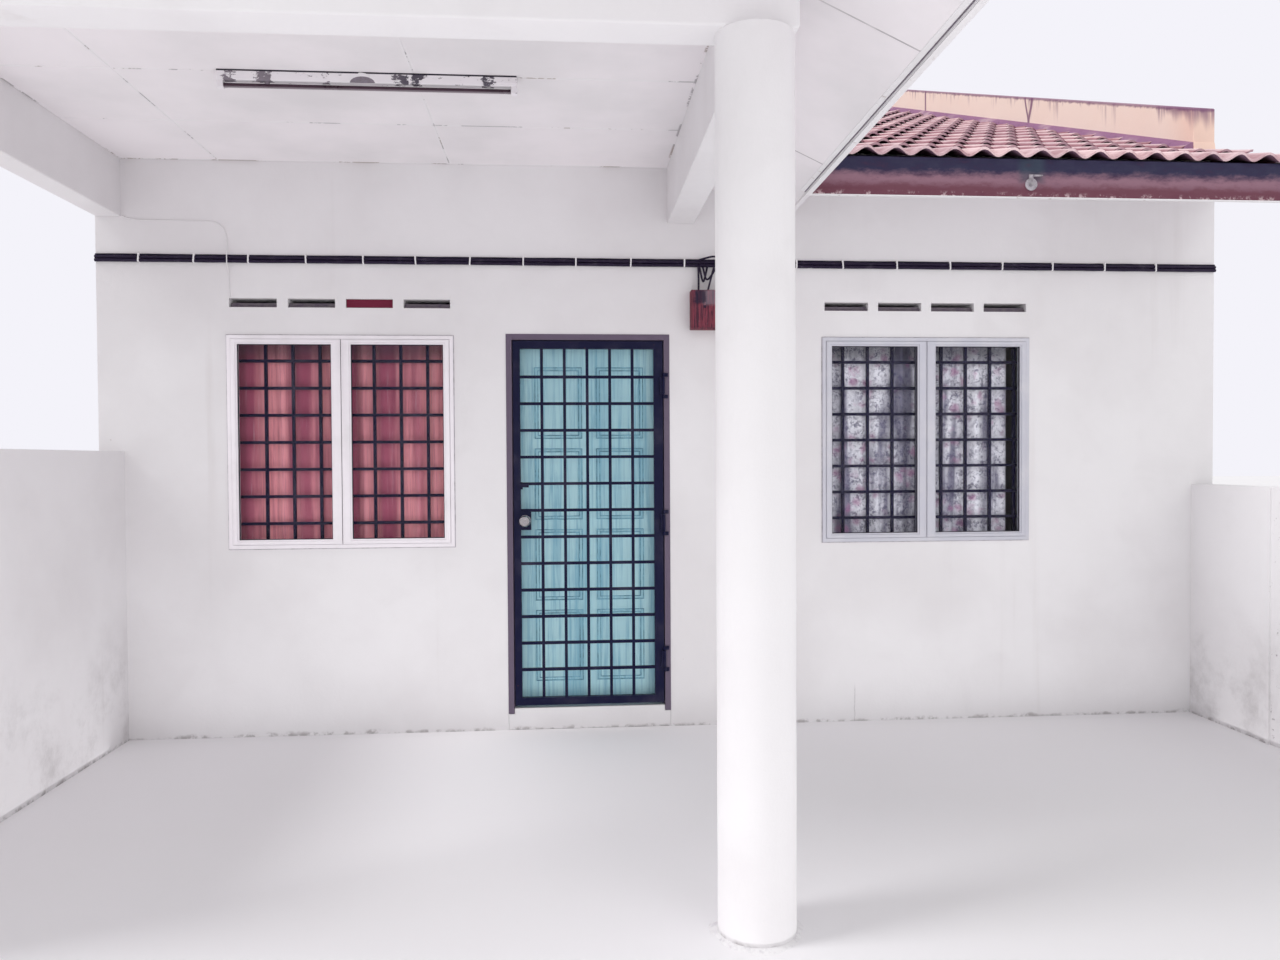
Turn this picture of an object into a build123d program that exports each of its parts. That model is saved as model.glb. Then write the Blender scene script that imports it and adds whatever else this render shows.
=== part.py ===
"""Single-storey terraced house between two party walls, with a half-gabled porch.

Millimetres.  X runs to the right along the front, Y into the house, Z up from the porch
ground.  The origin lies on the ground at the middle of the whole outline.
"""

import os
from math import cos, radians, tan

from build123d import *

# House plan
party_spacing = 6096.0  # between the party lines, 20 ft
party_thickness = 130.0
house_depth = 11000.0
wall_thickness = 125.0
floor_level = 120.0

# Main roof
main_pitch = 22.0
tile_build = 50.0  # tiles with their battens, square to the slope
tile_overhang = 40.0
eave_overhang = 600.0
eave_bottom = 2805.0
eave_top = 2995.0
board_thickness = 25.0
soffit_board = 10.0
soffit_rise = 25.0  # main soffit above the fascia's bottom edge
parapet_height = 205.0
ridge_cap_radius = 115.0
ridge_cap_bed = 45.0

# Porch
porch_pitch = 25.0
porch_depth = 2475.0  # from the front wall to the outer sides of the columns
beam_width = 150.0
beam_bottom = 2795.0
ceiling_level = 3100.0
ceiling_board = 9.0
porch_width = 3195.0  # from the left party line's outer face to the side beam's outer face
porch_eave_reach = 503.0  # from the side beam to the outer face of the porch fascia
porch_eave_bottom = 2800.0
porch_soffit_rise = 12.0
porch_verge = 650.0  # from the front beam to the face of the barge board
verge_overhang = 25.0
column_diameter = 250.0
left_low_wall_height = 1550.0
right_low_wall_height = 1330.0
right_band_start = 570.0
right_band_width = 70.0
right_band_proud = 10.0

# Windows
window_width = 1200.0
window_height = 1150.0
window_bottom = 1020.0
left_window_gap = 538.0  # from the left party wall
right_window_gap = 980.0  # from the right party wall
frame_depth = 60.0
frame_proud = 10.0
frame_face = 20.0
sash_proud = 14.0
sash_depth = 44.0
sash_margin = 54.0  # from the frame's outer edge to the glass at the sides
sash_rail = 48.0  # the same at the top and bottom
meeting_width = 104.0
meeting_gap = 4.0
glass_thickness = 5.0
glass_setback = 6.0
grille_bar = 16.0
grille_setback = 66.0
grille_row_pitch = 148.0
grille_rows = 7
left_grille_inset = 181.0  # first upright bar, from the side of the opening
left_grille_bars = 7
left_grille_pitch = 145.0
right_grille_inset = 139.0
right_grille_bars = 8
right_grille_pitch = 144.0
curtain_setback = 106.0
curtain_thickness = 3.0
curtain_fold = 11.0
curtain_folds = 24
curtain_margin = 6.0

# Vent slots over the windows
vent_width = 250.0
vent_height = 48.0
vent_bottom = 2320.0
vent_pitch = 307.0
vent_count = 4

# Doorway
doorway_gap = 2022.0  # from the left party wall
doorway_width = 901.0
door_head = 2183.0
door_frame_bottom = 90.0
door_frame_face = 32.0
door_frame_proud = 4.0
door_stop = 12.0
door_stop_front = 40.0
door_stop_back = 75.0
leaf_gap = 6.0
leaf_floor_gap = 15.0

# Security grille leaf
leaf_proud = 2.0
grille_leaf_thickness = 32.0
lock_stile = 38.0
hinge_stile = 50.0
leaf_rail = 42.0
leaf_bar = 16.0
leaf_columns = 6
leaf_column_pitch = 125.0
leaf_rows = 13
leaf_row_pitch = 147.0
lock_width = 56.0
lock_height = 100.0
lock_thickness = 24.0
knob_height = 1156.0
knob_from_stile = 22.0
knob_diameter = 64.0
latch_height = 1350.0
hinge_radius = 7.0
hinge_length = 90.0
hinge_gap = 6.0  # from the frame's face to the knuckles
hinge_count = 3
hinge_strap = 16.0
frame_knuckle = 20.0
knuckle_gap = 5.0
pin_radius = 3.0
pin_clearance = 0.05

# Panelled door leaf
door_leaf_front = 85.0
door_leaf_thickness = 36.0
panel_rows = 4
panel_columns = 2
panel_width = 265.0
panel_height = 400.0
panel_row_pitch = 453.0
panel_column_pitch = 343.0
panel_top_margin = 136.0
panel_groove = 22.0
panel_groove_depth = 5.0

# Fittings
meter_gap = 115.0  # from the doorway
meter_width = 250.0
meter_bottom = 2207.0
meter_height = 212.0
meter_depth = 90.0
cable_level = 2577.0
cable_height = 45.0
cable_depth = 24.0
lamp_length = 1226.0
lamp_gap = 929.0  # from the left party wall
lamp_line = -1210.0
lamp_width = 44.0
lamp_height = 42.0
lamp_end = 26.0
lamp_holder_drop = 30.0
lamp_tube_diameter = 20.0
rear_door_thickness = 40.0

# Worked out from the values above
inner_x = (party_spacing - party_thickness) / 2
outer_x = (party_spacing + party_thickness) / 2
main_rise = tan(radians(main_pitch))
porch_rise = tan(radians(porch_pitch))
tile_depth = tile_build / cos(radians(main_pitch))
ridge_line = house_depth / 2
column_y = column_diameter / 2 - porch_depth
front_beam_outer = column_y - beam_width / 2
front_beam_inner = column_y + beam_width / 2
front_edge = front_beam_outer - porch_verge - verge_overhang
rear_edge = house_depth + eave_overhang + tile_overhang
face_y = -(front_edge + rear_edge) / 2  # place of the front wall's outer face
side_beam_outer = porch_width - outer_x
porch_eave = side_beam_outer + porch_eave_reach
side_beam_inner = side_beam_outer - beam_width
left_window_start = left_window_gap - inner_x
right_window_start = inner_x - right_window_gap - window_width
left_grille_start = left_window_start + left_grille_inset
right_grille_start = right_window_start + right_grille_inset
window_head = window_bottom + window_height
door_left = doorway_gap - inner_x
door_right = door_left + doorway_width
meter_left = door_right + meter_gap
lamp_left = lamp_gap - inner_x
leaf_left = door_left + door_frame_face + leaf_gap
leaf_right = door_right - door_frame_face - leaf_gap
leaf_bottom = floor_level + leaf_floor_gap
leaf_top = door_head - door_frame_face - leaf_gap
hinge_x = leaf_right + 4.0
grille_axis = -door_frame_proud - hinge_gap - hinge_radius
door_axis = wall_thickness + hinge_gap + hinge_radius


def block(x0, x1, y0, y1, z0, z1):
    """Box between two corners; y is measured from the front wall's outer face."""
    middle = Pos((x0 + x1) / 2, face_y + (y0 + y1) / 2, (z0 + z1) / 2)
    return middle * Box(x1 - x0, y1 - y0, z1 - z0)


def side_profile(points, x0, x1):
    """Outline in (y, z) carried from x0 to x1."""
    plane = Plane(origin=(x0, face_y, 0), x_dir=(0, 1, 0), z_dir=(1, 0, 0))
    face = plane * Polygon(*points, align=None)
    return extrude(face, amount=x1 - x0, dir=(1, 0, 0))


def front_profile(points, y0, y1):
    """Outline in (x, z) carried from y0 to y1."""
    plane = Plane(origin=(0, face_y + y0, 0), x_dir=(1, 0, 0), z_dir=(0, -1, 0))
    face = plane * Polygon(*points, align=None)
    return extrude(face, amount=y1 - y0, dir=(0, 1, 0))


def upright(radius, x, y, z0, z1):
    """Round post standing from z0 to z1."""
    return Pos(x, face_y + y, (z0 + z1) / 2) * Cylinder(radius, z1 - z0)


def main_under(y):
    """Underside of the main roof's tiles over the line y."""
    return eave_top + (min(y, house_depth - y) + eave_overhang) * main_rise


def porch_under(x):
    """Underside of the porch roof's tiles over the line x."""
    return eave_top + (porch_eave - x) * porch_rise


def porch_soffit_under(x):
    """Underside of the porch soffit over the line x."""
    start = porch_eave - board_thickness
    return porch_eave_bottom + porch_soffit_rise + (start - x) * porch_rise


def valley_side(porch_side):
    """Tall block over the plan on one side of the valley between the two roofs."""
    slope = main_rise / porch_rise
    reach = 20000.0
    near = (porch_eave + (reach - eave_overhang) * slope, -reach)
    far = (porch_eave - (reach + eave_overhang) * slope, reach)
    aside = -reach * 2 if porch_side else reach * 2
    plane = Plane(origin=(0, face_y, -100), x_dir=(1, 0, 0), z_dir=(0, 0, 1))
    face = plane * Polygon(near, far, (aside, reach), (aside, -reach), align=None)
    return extrude(face, amount=8000, dir=(0, 0, 1))


porch_plan = valley_side(True)
main_plan = valley_side(False)


def turned_about(shape):
    """Turns a front piece about the middle of the house, to face out of the rear wall."""
    middle = face_y + house_depth / 2
    return Pos(0, middle, 0) * Rot(0, 0, 180) * Pos(0, -middle, 0) * shape


# Walls
def window_hole(start, y0, y1):
    return block(start, start + window_width, y0, y1, window_bottom, window_head)


def vent_holes(start, y0, y1):
    """Row of slots centred over one window."""
    row = (vent_count - 1) * vent_pitch + vent_width
    first = start + (window_width - row) / 2
    top = vent_bottom + vent_height
    holes = [
        block(first + i * vent_pitch, first + i * vent_pitch + vent_width, y0, y1, vent_bottom, top)
        for i in range(vent_count)
    ]
    return holes


def cut(body, tools):
    """Takes each tool away from the body."""
    for tool in tools:
        body = body - tool
    return body


def front_wall_parts():
    """Wall beside the doorway on both sides, and the wall over it."""
    left = block(-inner_x, door_left, 0, wall_thickness, 0, door_head)
    left = left - window_hole(left_window_start, -10, wall_thickness + 10)
    right = block(door_right, inner_x, 0, wall_thickness, 0, door_head)
    right = right - window_hole(right_window_start, -10, wall_thickness + 10)
    outline = [
        (0, door_head),
        (wall_thickness, door_head),
        (wall_thickness, main_under(wall_thickness)),
        (0, main_under(0)),
    ]
    upper = side_profile(outline, -inner_x, inner_x)
    for start in (left_window_start, right_window_start):
        upper = cut(upper, vent_holes(start, -10, wall_thickness + 10))
    return left, right, upper


def rear_wall_shape():
    """Rear wall: the front's windows, vents and doorway repeated."""
    outline = [
        (0, 0),
        (wall_thickness, 0),
        (wall_thickness, main_under(wall_thickness)),
        (0, main_under(0)),
    ]
    wall = side_profile(outline, -inner_x, inner_x)
    for start in (left_window_start, right_window_start):
        wall = wall - window_hole(start, -10, wall_thickness + 10)
        wall = cut(wall, vent_holes(start, -10, wall_thickness + 10))
    doorway = block(door_left, door_right, -10, wall_thickness + 10, floor_level, door_head)
    return turned_about(wall - doorway)


def party_outline():
    """Side outline of a party wall up to the tops of the tiles."""
    return [
        (0, 0),
        (house_depth, 0),
        (house_depth, main_under(house_depth) + tile_depth),
        (ridge_line, main_under(ridge_line) + tile_depth),
        (0, main_under(0) + tile_depth),
    ]


def parapet_outline():
    """Side outline of a parapet that follows the tiles."""
    low = main_under(0) + tile_depth
    peak = main_under(ridge_line) + tile_depth
    return [
        (0, low),
        (ridge_line, peak),
        (house_depth, low),
        (house_depth, low + parapet_height),
        (ridge_line, peak + parapet_height),
        (0, low + parapet_height),
    ]


def left_party_wall_shape():
    """Left party wall; where the porch roof passes over it, it rises to that roof."""
    main_part = side_profile(party_outline(), -outer_x, -inner_x) & main_plan
    under_porch = front_profile(
        [
            (-outer_x, 0),
            (-inner_x, 0),
            (-inner_x, porch_under(-inner_x)),
            (-outer_x, porch_under(-outer_x)),
        ],
        0,
        ridge_line,
    )
    return main_part + (under_porch & porch_plan)


# Roofs
def main_slope(rear):
    """One slope of the main roof, laid between the party walls."""
    edge = -(eave_overhang + tile_overhang)
    outline = [
        (edge, main_under(edge)),
        (ridge_line, main_under(ridge_line)),
        (ridge_line, main_under(ridge_line) + tile_depth),
        (edge, main_under(edge) + tile_depth),
    ]
    if rear:
        outline = [(house_depth - y, z) for y, z in outline]
    slab = side_profile(outline, -outer_x, outer_x)
    for x0, x1 in ((-outer_x - 10, -inner_x), (inner_x, outer_x + 10)):
        slab = slab - block(x0, x1, 0, house_depth, 0, 8000)
    return slab if rear else slab & main_plan


def porch_slope():
    """Porch roof, from its eave up to the left party line, back to the valley."""
    edge = porch_eave + tile_overhang
    outline = [
        (edge, porch_under(edge)),
        (-outer_x, porch_under(-outer_x)),
        (-outer_x, porch_under(-outer_x) + tile_depth),
        (edge, porch_under(edge) + tile_depth),
    ]
    return front_profile(outline, front_edge, ridge_line) & porch_plan


def ridge_cap_shapes():
    """Bedded ridge tiles along the main ridge and along the top of the porch roof."""
    peak = main_under(ridge_line) + tile_depth
    turned = Rot(0, 90, 0) * Cylinder(ridge_cap_radius, 2 * inner_x)
    main_cap = Pos(0, face_y + ridge_line, peak - ridge_cap_bed) * turned
    under = [(0, 0), (house_depth, 0), party_outline()[2], party_outline()[3], party_outline()[4]]
    main_cap = main_cap - side_profile(under, -outer_x - 10, outer_x + 10)
    crest = porch_under(-outer_x) + tile_depth
    length = ridge_line - front_edge
    along = Rot(90, 0, 0) * Cylinder(ridge_cap_radius, length)
    porch_cap = Pos(-outer_x, face_y + front_edge + length / 2, crest - ridge_cap_bed) * along
    inner = block(-outer_x, 0, front_edge, ridge_line, 0, 8000)
    below = front_profile(
        [
            (-outer_x - 500, 0),
            (porch_eave, 0),
            (porch_eave, porch_under(porch_eave) + tile_depth),
            (-outer_x - 500, porch_under(-outer_x - 500) + tile_depth),
        ],
        front_edge - 10,
        ridge_line + 10,
    )
    porch_cap = (porch_cap & inner & porch_plan) - below
    return main_cap, porch_cap


def main_fascia(rear):
    """Fascia board under the edge of the tiles."""
    outer = -eave_overhang
    inner = outer + board_thickness
    outline = [
        (outer, eave_bottom),
        (inner, eave_bottom),
        (inner, main_under(inner)),
        (outer, main_under(outer)),
    ]
    if rear:
        outline = [(house_depth - y, z) for y, z in outline]
        return side_profile(outline, -outer_x, outer_x)
    return side_profile(outline, porch_eave, outer_x)


def eave_end_boards_shape():
    """Boards that close the ends of the boxed eaves at the party lines."""
    inner = -eave_overhang + board_thickness
    low = eave_bottom + soffit_rise
    front = [(inner, low), (0, low - inner * main_rise), (0, main_under(0))]
    front.append((inner, main_under(inner)))
    rear = [(house_depth - y, z) for y, z in front]
    boards = [side_profile(front, outer_x - board_thickness, outer_x)]
    for x0 in (-outer_x, outer_x - board_thickness):
        boards.append(side_profile(rear, x0, x0 + board_thickness))
    x1 = -outer_x + board_thickness
    verge = [
        (-outer_x, porch_soffit_under(-outer_x)),
        (x1, porch_soffit_under(x1)),
        (x1, porch_under(x1)),
        (-outer_x, porch_under(-outer_x)),
    ]
    start = front_beam_outer - porch_verge + board_thickness
    boards.append(front_profile(verge, start, front_beam_outer))
    return boards


def main_soffit(rear):
    """Sloping board under the eave, from the fascia up to the wall."""
    inner = -eave_overhang + board_thickness
    low = eave_bottom + soffit_rise
    high = low - inner * main_rise
    outline = [(inner, low), (0, high), (0, high + soffit_board), (inner, low + soffit_board)]
    if rear:
        outline = [(house_depth - y, z) for y, z in outline]
        return side_profile(outline, -outer_x + board_thickness, outer_x - board_thickness)
    return side_profile(outline, porch_eave, outer_x - board_thickness)


def porch_soffit(x0, x1, y0, y1):
    """Sloping board under the porch roof between two lines in plan."""
    low, high = porch_soffit_under(x1), porch_soffit_under(x0)
    outline = [(x1, low), (x0, high), (x0, high + soffit_board), (x1, low + soffit_board)]
    return front_profile(outline, y0, y1)


def porch_fascia_shape():
    """Board along the porch's side eave, back to the front wall."""
    inner = porch_eave - board_thickness
    outline = [
        (inner, porch_eave_bottom),
        (porch_eave, porch_eave_bottom),
        (porch_eave, porch_under(porch_eave)),
        (inner, porch_under(inner)),
    ]
    front = front_beam_outer - porch_verge + board_thickness
    return front_profile(outline, front, 0)


def barge_board_shape():
    """Sloping board at the porch's front edge."""
    face = front_beam_outer - porch_verge
    drop = eave_top - porch_eave_bottom
    outline = [
        (porch_eave, porch_eave_bottom),
        (porch_eave, porch_under(porch_eave)),
        (-outer_x, porch_under(-outer_x)),
        (-outer_x, porch_under(-outer_x) - drop),
    ]
    return front_profile(outline, face, face + board_thickness)


# Porch
def column_places():
    """Centres of the two columns, flush with the outer faces of the beams."""
    right = side_beam_outer - column_diameter / 2
    left = -outer_x + column_diameter / 2
    return [left, right]


def porch_columns_shape():
    return [
        upright(column_diameter / 2, x, column_y, 0, beam_bottom) for x in column_places()
    ]


def left_low_wall_shape():
    """Low wall on the party line, cut to the round of the column."""
    wall = block(-outer_x, -inner_x, column_y, 0, 0, left_low_wall_height)
    return wall - upright(column_diameter / 2, column_places()[0], column_y, -10, beam_bottom)


def right_low_wall_shape():
    """Low wall on the right with a narrow band that stands proud."""
    wall = block(inner_x, outer_x, -porch_depth, 0, 0, right_low_wall_height)
    band_y = -right_band_start
    band_x = inner_x - right_band_proud
    band = block(band_x, inner_x, band_y - right_band_width, band_y, 0, right_low_wall_height)
    return wall + band


def porch_gable_shape():
    """Wall on the front beam, up to the slope of the porch roof."""
    outline = [
        (-outer_x, ceiling_level),
        (side_beam_outer, ceiling_level),
        (side_beam_outer, porch_under(side_beam_outer)),
        (-outer_x, porch_under(-outer_x)),
    ]
    return front_profile(outline, front_beam_outer, front_beam_inner)


def porch_party_shape():
    """Wall on the party beam, up to the slope of the porch roof."""
    outline = [
        (-outer_x, ceiling_level),
        (-inner_x, ceiling_level),
        (-inner_x, porch_under(-inner_x)),
        (-outer_x, porch_under(-outer_x)),
    ]
    return front_profile(outline, front_beam_inner, 0)


# Windows
def window_panes(start):
    """Glass openings of one window as (x0, x1) pairs."""
    width = (window_width - 2 * sash_margin - meeting_width) / 2
    first = start + sash_margin
    second = first + width + meeting_width
    return [(first, first + width), (second, second + width)]


def window_frame(start):
    """Outer frame with two casement sashes."""
    end = start + window_width
    back = frame_depth - frame_proud
    ring = block(start, end, -frame_proud, back, window_bottom, window_head)
    inside = block(
        start + frame_face,
        end - frame_face,
        -frame_proud - 1,
        back + 1,
        window_bottom + frame_face,
        window_head - frame_face,
    )
    frame = ring - inside
    middle = (start + end) / 2
    low = window_bottom + frame_face
    high = window_head - frame_face
    sides = (
        (start + frame_face, middle - meeting_gap / 2),
        (middle + meeting_gap / 2, end - frame_face),
    )
    for (x0, x1), (g0, g1) in zip(sides, window_panes(start)):
        sash = block(x0, x1, -sash_proud, sash_depth - sash_proud, low, high)
        hole = block(
            g0, g1, -sash_proud - 1, sash_depth, window_bottom + sash_rail, window_head - sash_rail
        )
        frame = frame + (sash - hole)
    post = block(
        middle - meeting_gap, middle + meeting_gap, sash_depth - sash_proud, back, low, high
    )
    strip = block(
        middle - meeting_gap / 2, middle + meeting_gap / 2, -frame_proud, back, low, high
    )
    return frame + post + strip


def window_glass_panes(start):
    low = window_bottom + sash_rail
    high = window_head - sash_rail
    back = glass_setback + glass_thickness
    return [block(x0, x1, glass_setback, back, low, high) for x0, x1 in window_panes(start)]


def window_grille(start, first, count, pitch):
    """Lattice of square bars let into the sides of the window opening."""
    y0 = grille_setback
    y1 = y0 + grille_bar
    half = grille_bar / 2
    middle = (window_bottom + window_head) / 2
    levels = [middle + (i - (grille_rows - 1) / 2) * grille_row_pitch for i in range(grille_rows)]
    lattice = [block(start, start + window_width, y0, y1, z - half, z + half) for z in levels]
    for i in range(count):
        x = first + i * pitch
        lattice.append(block(x - half, x + half, y0, y1, window_bottom, window_head))
    body = lattice[0]
    for bar in lattice[1:]:
        body = body + bar
    return body


def curtain(start):
    """Thin folded cloth hung in the opening behind the grille."""
    x0 = start + curtain_margin
    step = (window_width - 2 * curtain_margin) / curtain_folds
    edges = []
    for offset in (0, curtain_thickness):
        for i in range(curtain_folds):
            side = curtain_fold if i % 2 else -curtain_fold
            y = curtain_setback + offset
            edges.append(
                ThreePointArc(
                    (x0 + i * step, y), (x0 + (i + 0.5) * step, y + side), (x0 + (i + 1) * step, y)
                )
            )
    x1 = x0 + curtain_folds * step
    for x in (x0, x1):
        edges.append(Line((x, curtain_setback), (x, curtain_setback + curtain_thickness)))
    plane = Plane(origin=(0, face_y, window_bottom), x_dir=(1, 0, 0), z_dir=(0, 0, 1))
    face = plane * make_face(Curve() + edges)
    return extrude(face, amount=window_height, dir=(0, 0, 1))


# Doorway
def door_frame_shape():
    """Steel frame with a stop between the two leaves."""
    y0 = -door_frame_proud
    y1 = wall_thickness
    frame = block(door_left, door_right, y0, y1, door_frame_bottom, door_head)
    inner = block(
        door_left + door_frame_face,
        door_right - door_frame_face,
        y0 - 1,
        y1 + 1,
        door_frame_bottom - 1,
        door_head - door_frame_face,
    )
    narrow = block(
        door_left + door_frame_face + door_stop,
        door_right - door_frame_face - door_stop,
        y0 - 1,
        y1 + 1,
        door_frame_bottom - 1,
        door_head - door_frame_face - door_stop,
    )
    stop = block(
        door_left + 1, door_right - 1, door_stop_front, door_stop_back, floor_level, door_head - 1
    )
    return (frame - inner) + (stop - narrow)


def door_sill_shape():
    """Raised threshold, let in between the legs of the frame."""
    low = block(door_left, door_right, 0, wall_thickness, 0, door_frame_bottom)
    top = block(
        door_left + door_frame_face,
        door_right - door_frame_face,
        0,
        wall_thickness,
        door_frame_bottom,
        floor_level,
    )
    return low + top


def hinge_levels():
    """Foot of each leaf knuckle."""
    inset = (leaf_top - leaf_bottom) / 10
    run = leaf_top - leaf_bottom - 2 * inset - hinge_length
    return [leaf_bottom + inset + run * i / (hinge_count - 1) for i in range(hinge_count)]


def leaf_knuckles(y_axis, y_leaf):
    """Bored knuckles on the hinge side of a leaf, each with the strap that carries it."""
    toward = 1 if y_leaf > y_axis else -1
    near = y_axis + toward * hinge_radius / 2
    far = y_axis + toward * hinge_radius
    x0 = leaf_right - hinge_strap
    shapes = []
    for z0 in hinge_levels():
        z1 = z0 + hinge_length
        barrel = upright(hinge_radius, hinge_x, y_axis, z0, z1)
        wing = block(x0, hinge_x, min(near, far), max(near, far), z0, z1)
        strap = block(x0, leaf_right, min(near, y_leaf), max(near, y_leaf), z0, z1)
        bore = upright(pin_radius + pin_clearance, hinge_x, y_axis, z0 - 1, z1 + 1)
        shapes.append((barrel + wing + strap) - bore)
    return shapes


def frame_knuckles(y_axis, y_frame):
    """Hinge pins, each held by a knuckle on the door frame above and below the leaf's."""
    toward = 1 if y_frame > y_axis else -1
    reach = y_frame - toward * (hinge_gap + hinge_radius / 2)
    x0 = door_right - door_frame_face
    x1 = x0 + hinge_strap + 6
    shapes = []
    for z0 in hinge_levels():
        low = z0 - knuckle_gap - frame_knuckle
        high = z0 + hinge_length + knuckle_gap
        body = upright(pin_radius, hinge_x, y_axis, low, high + frame_knuckle)
        for z in (low, high):
            body = body + upright(hinge_radius, hinge_x, y_axis, z, z + frame_knuckle)
            lug = block(x0, x1, min(reach, y_frame), max(reach, y_frame), z, z + frame_knuckle)
            body = body + lug
        shapes.append(body)
    return shapes


def door_hinge_shapes():
    """Frame side of the hinges of both leaves."""
    return frame_knuckles(grille_axis, -door_frame_proud) + frame_knuckles(
        door_axis, wall_thickness
    )


def security_grille_shape():
    """Welded leaf: outer tubes, a lattice of square bars, a lock case and hinges."""
    y0 = -leaf_proud
    y1 = y0 + grille_leaf_thickness
    leaf = block(leaf_left, leaf_right, y0, y1, leaf_bottom, leaf_top)
    x0 = leaf_left + lock_stile
    x1 = leaf_right - hinge_stile
    z0 = leaf_bottom + leaf_rail
    z1 = leaf_top - leaf_rail
    leaf = leaf - block(x0, x1, y0 - 1, y1 + 1, z0, z1)
    half = leaf_bar / 2
    ym = (y0 + y1) / 2
    xm = (x0 + x1) / 2
    zm = (z0 + z1) / 2
    for i in range(leaf_columns - 1):
        x = xm + (i - (leaf_columns - 2) / 2) * leaf_column_pitch
        leaf = leaf + block(x - half, x + half, ym - half, ym + half, z0, z1)
    for i in range(leaf_rows - 1):
        z = zm + (i - (leaf_rows - 2) / 2) * leaf_row_pitch
        leaf = leaf + block(x0, x1, ym - half, ym + half, z - half, z + half)
    lz0 = knob_height - lock_height / 2
    leaf = leaf + block(x0, x0 + lock_width, y0, y0 + lock_thickness, lz0, lz0 + lock_height)
    bolt = block(x0 - 8, x0 + 44, y0 - 12, y0, latch_height - 9, latch_height + 9)
    leaf = leaf + bolt + block(x0 - 20, x0 + 10, y0, y1, latch_height - 20, latch_height + 20)
    for part in leaf_knuckles(grille_axis, y0):
        leaf = leaf + part
    return leaf


def grille_knob_shape():
    """Round knob on the lock case."""
    base = -leaf_proud
    r = knob_diameter / 2
    points = [(0, 0), (r, 0), (r, 5), (13, 8), (13, 26), (r - 8, 30), (r, 38), (r, 48)]
    points += [(r - 6, 56), (0, 60)]
    x = leaf_left + lock_stile + knob_from_stile
    plane = Plane(origin=(x, face_y + base, knob_height), x_dir=(1, 0, 0), z_dir=(0, 0, 1))
    face = plane * Polygon(*[(a, -b) for a, b in points], align=None)
    return revolve(face, Axis((x, face_y + base, knob_height), (0, 1, 0)), 360)


def front_door_shape():
    """Moulded leaf with two columns of four panels on both faces."""
    y0 = door_leaf_front
    y1 = y0 + door_leaf_thickness
    leaf = block(leaf_left, leaf_right, y0, y1, leaf_bottom, leaf_top)
    middle = (leaf_left + leaf_right) / 2
    for column in range(panel_columns):
        for row in range(panel_rows):
            x = middle + (column - (panel_columns - 1) / 2) * panel_column_pitch
            top = leaf_top - panel_top_margin - row * panel_row_pitch
            x0, x1 = x - panel_width / 2, x + panel_width / 2
            z0 = top - panel_height
            for ya, yb in ((y0, y0 + panel_groove_depth), (y1 - panel_groove_depth, y1)):
                ring = block(x0, x1, ya, yb, z0, top) - block(
                    x0 + panel_groove,
                    x1 - panel_groove,
                    ya,
                    yb,
                    z0 + panel_groove,
                    top - panel_groove,
                )
                leaf = leaf - ring
    for part in leaf_knuckles(door_axis, y1):
        leaf = leaf + part
    return leaf


def rear_door_shape():
    """Plain leaf with its frame in the rear doorway."""
    y0 = -door_frame_proud
    frame = block(door_left, door_right, y0, wall_thickness, floor_level, door_head)
    x0 = door_left + door_frame_face
    x1 = door_right - door_frame_face
    z1 = door_head - door_frame_face
    hole = block(x0, x1, y0 - 1, wall_thickness + 10, floor_level - 1, z1)
    leaf = block(x0, x1, 20, 20 + rear_door_thickness, floor_level, z1)
    return turned_about((frame - hole) + leaf)


# Fittings
def wall_cable_shape():
    """Bundle of service cables clipped along the front wall."""
    z0 = cable_level - cable_height / 2
    return block(-outer_x, outer_x, -cable_depth, 0, z0, z0 + cable_height)


def porch_lamp_shape():
    """Batten body with a holder at each end."""
    y0 = lamp_line - lamp_width / 2
    y1 = lamp_line + lamp_width / 2
    x1 = lamp_left + lamp_length
    body = block(lamp_left, x1, y0, y1, ceiling_level - lamp_height, ceiling_level)
    drop = ceiling_level - lamp_height - lamp_holder_drop
    for a in (lamp_left, x1 - lamp_end):
        body = body + block(a, a + lamp_end, y0 + 8, y1 - 8, drop, ceiling_level - lamp_height)
    return body


def lamp_tube_shape():
    """Tube between the two holders."""
    z = ceiling_level - lamp_height - lamp_holder_drop + lamp_tube_diameter / 2 + 3
    length = lamp_length - 2 * lamp_end
    turned = Rot(0, 90, 0) * Cylinder(lamp_tube_diameter / 2, length)
    return Pos(lamp_left + lamp_length / 2, face_y + lamp_line, z) * turned


def solids_of(shapes):
    """Gathers separate pieces into one compound."""
    found = []
    for shape in shapes:
        found += list(shape.solids())
    return found[0] if len(found) == 1 else Compound(children=found)


wall_left, wall_right, wall_upper = front_wall_parts()
main_cap, porch_cap = ridge_cap_shapes()
left_grille = (left_window_start, left_grille_start, left_grille_bars, left_grille_pitch)
right_grille = (right_window_start, right_grille_start, right_grille_bars, right_grille_pitch)
frames = [window_frame(left_window_start), window_frame(right_window_start)]
glass = window_glass_panes(left_window_start) + window_glass_panes(right_window_start)
grilles = [window_grille(*left_grille), window_grille(*right_grille)]

soffit_front = front_beam_outer - porch_verge + board_thickness
soffit_side = porch_eave - board_thickness
side_soffit = porch_soffit(side_beam_outer, soffit_side, soffit_front, 0)
verge_soffit = porch_soffit(
    -outer_x + board_thickness, side_beam_outer, soffit_front, front_beam_outer
)
rear_frames = [turned_about(frame) for frame in frames]
rear_glass = [turned_about(pane) for pane in glass]
rear_grilles = [turned_about(grille) for grille in grilles]

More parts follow.
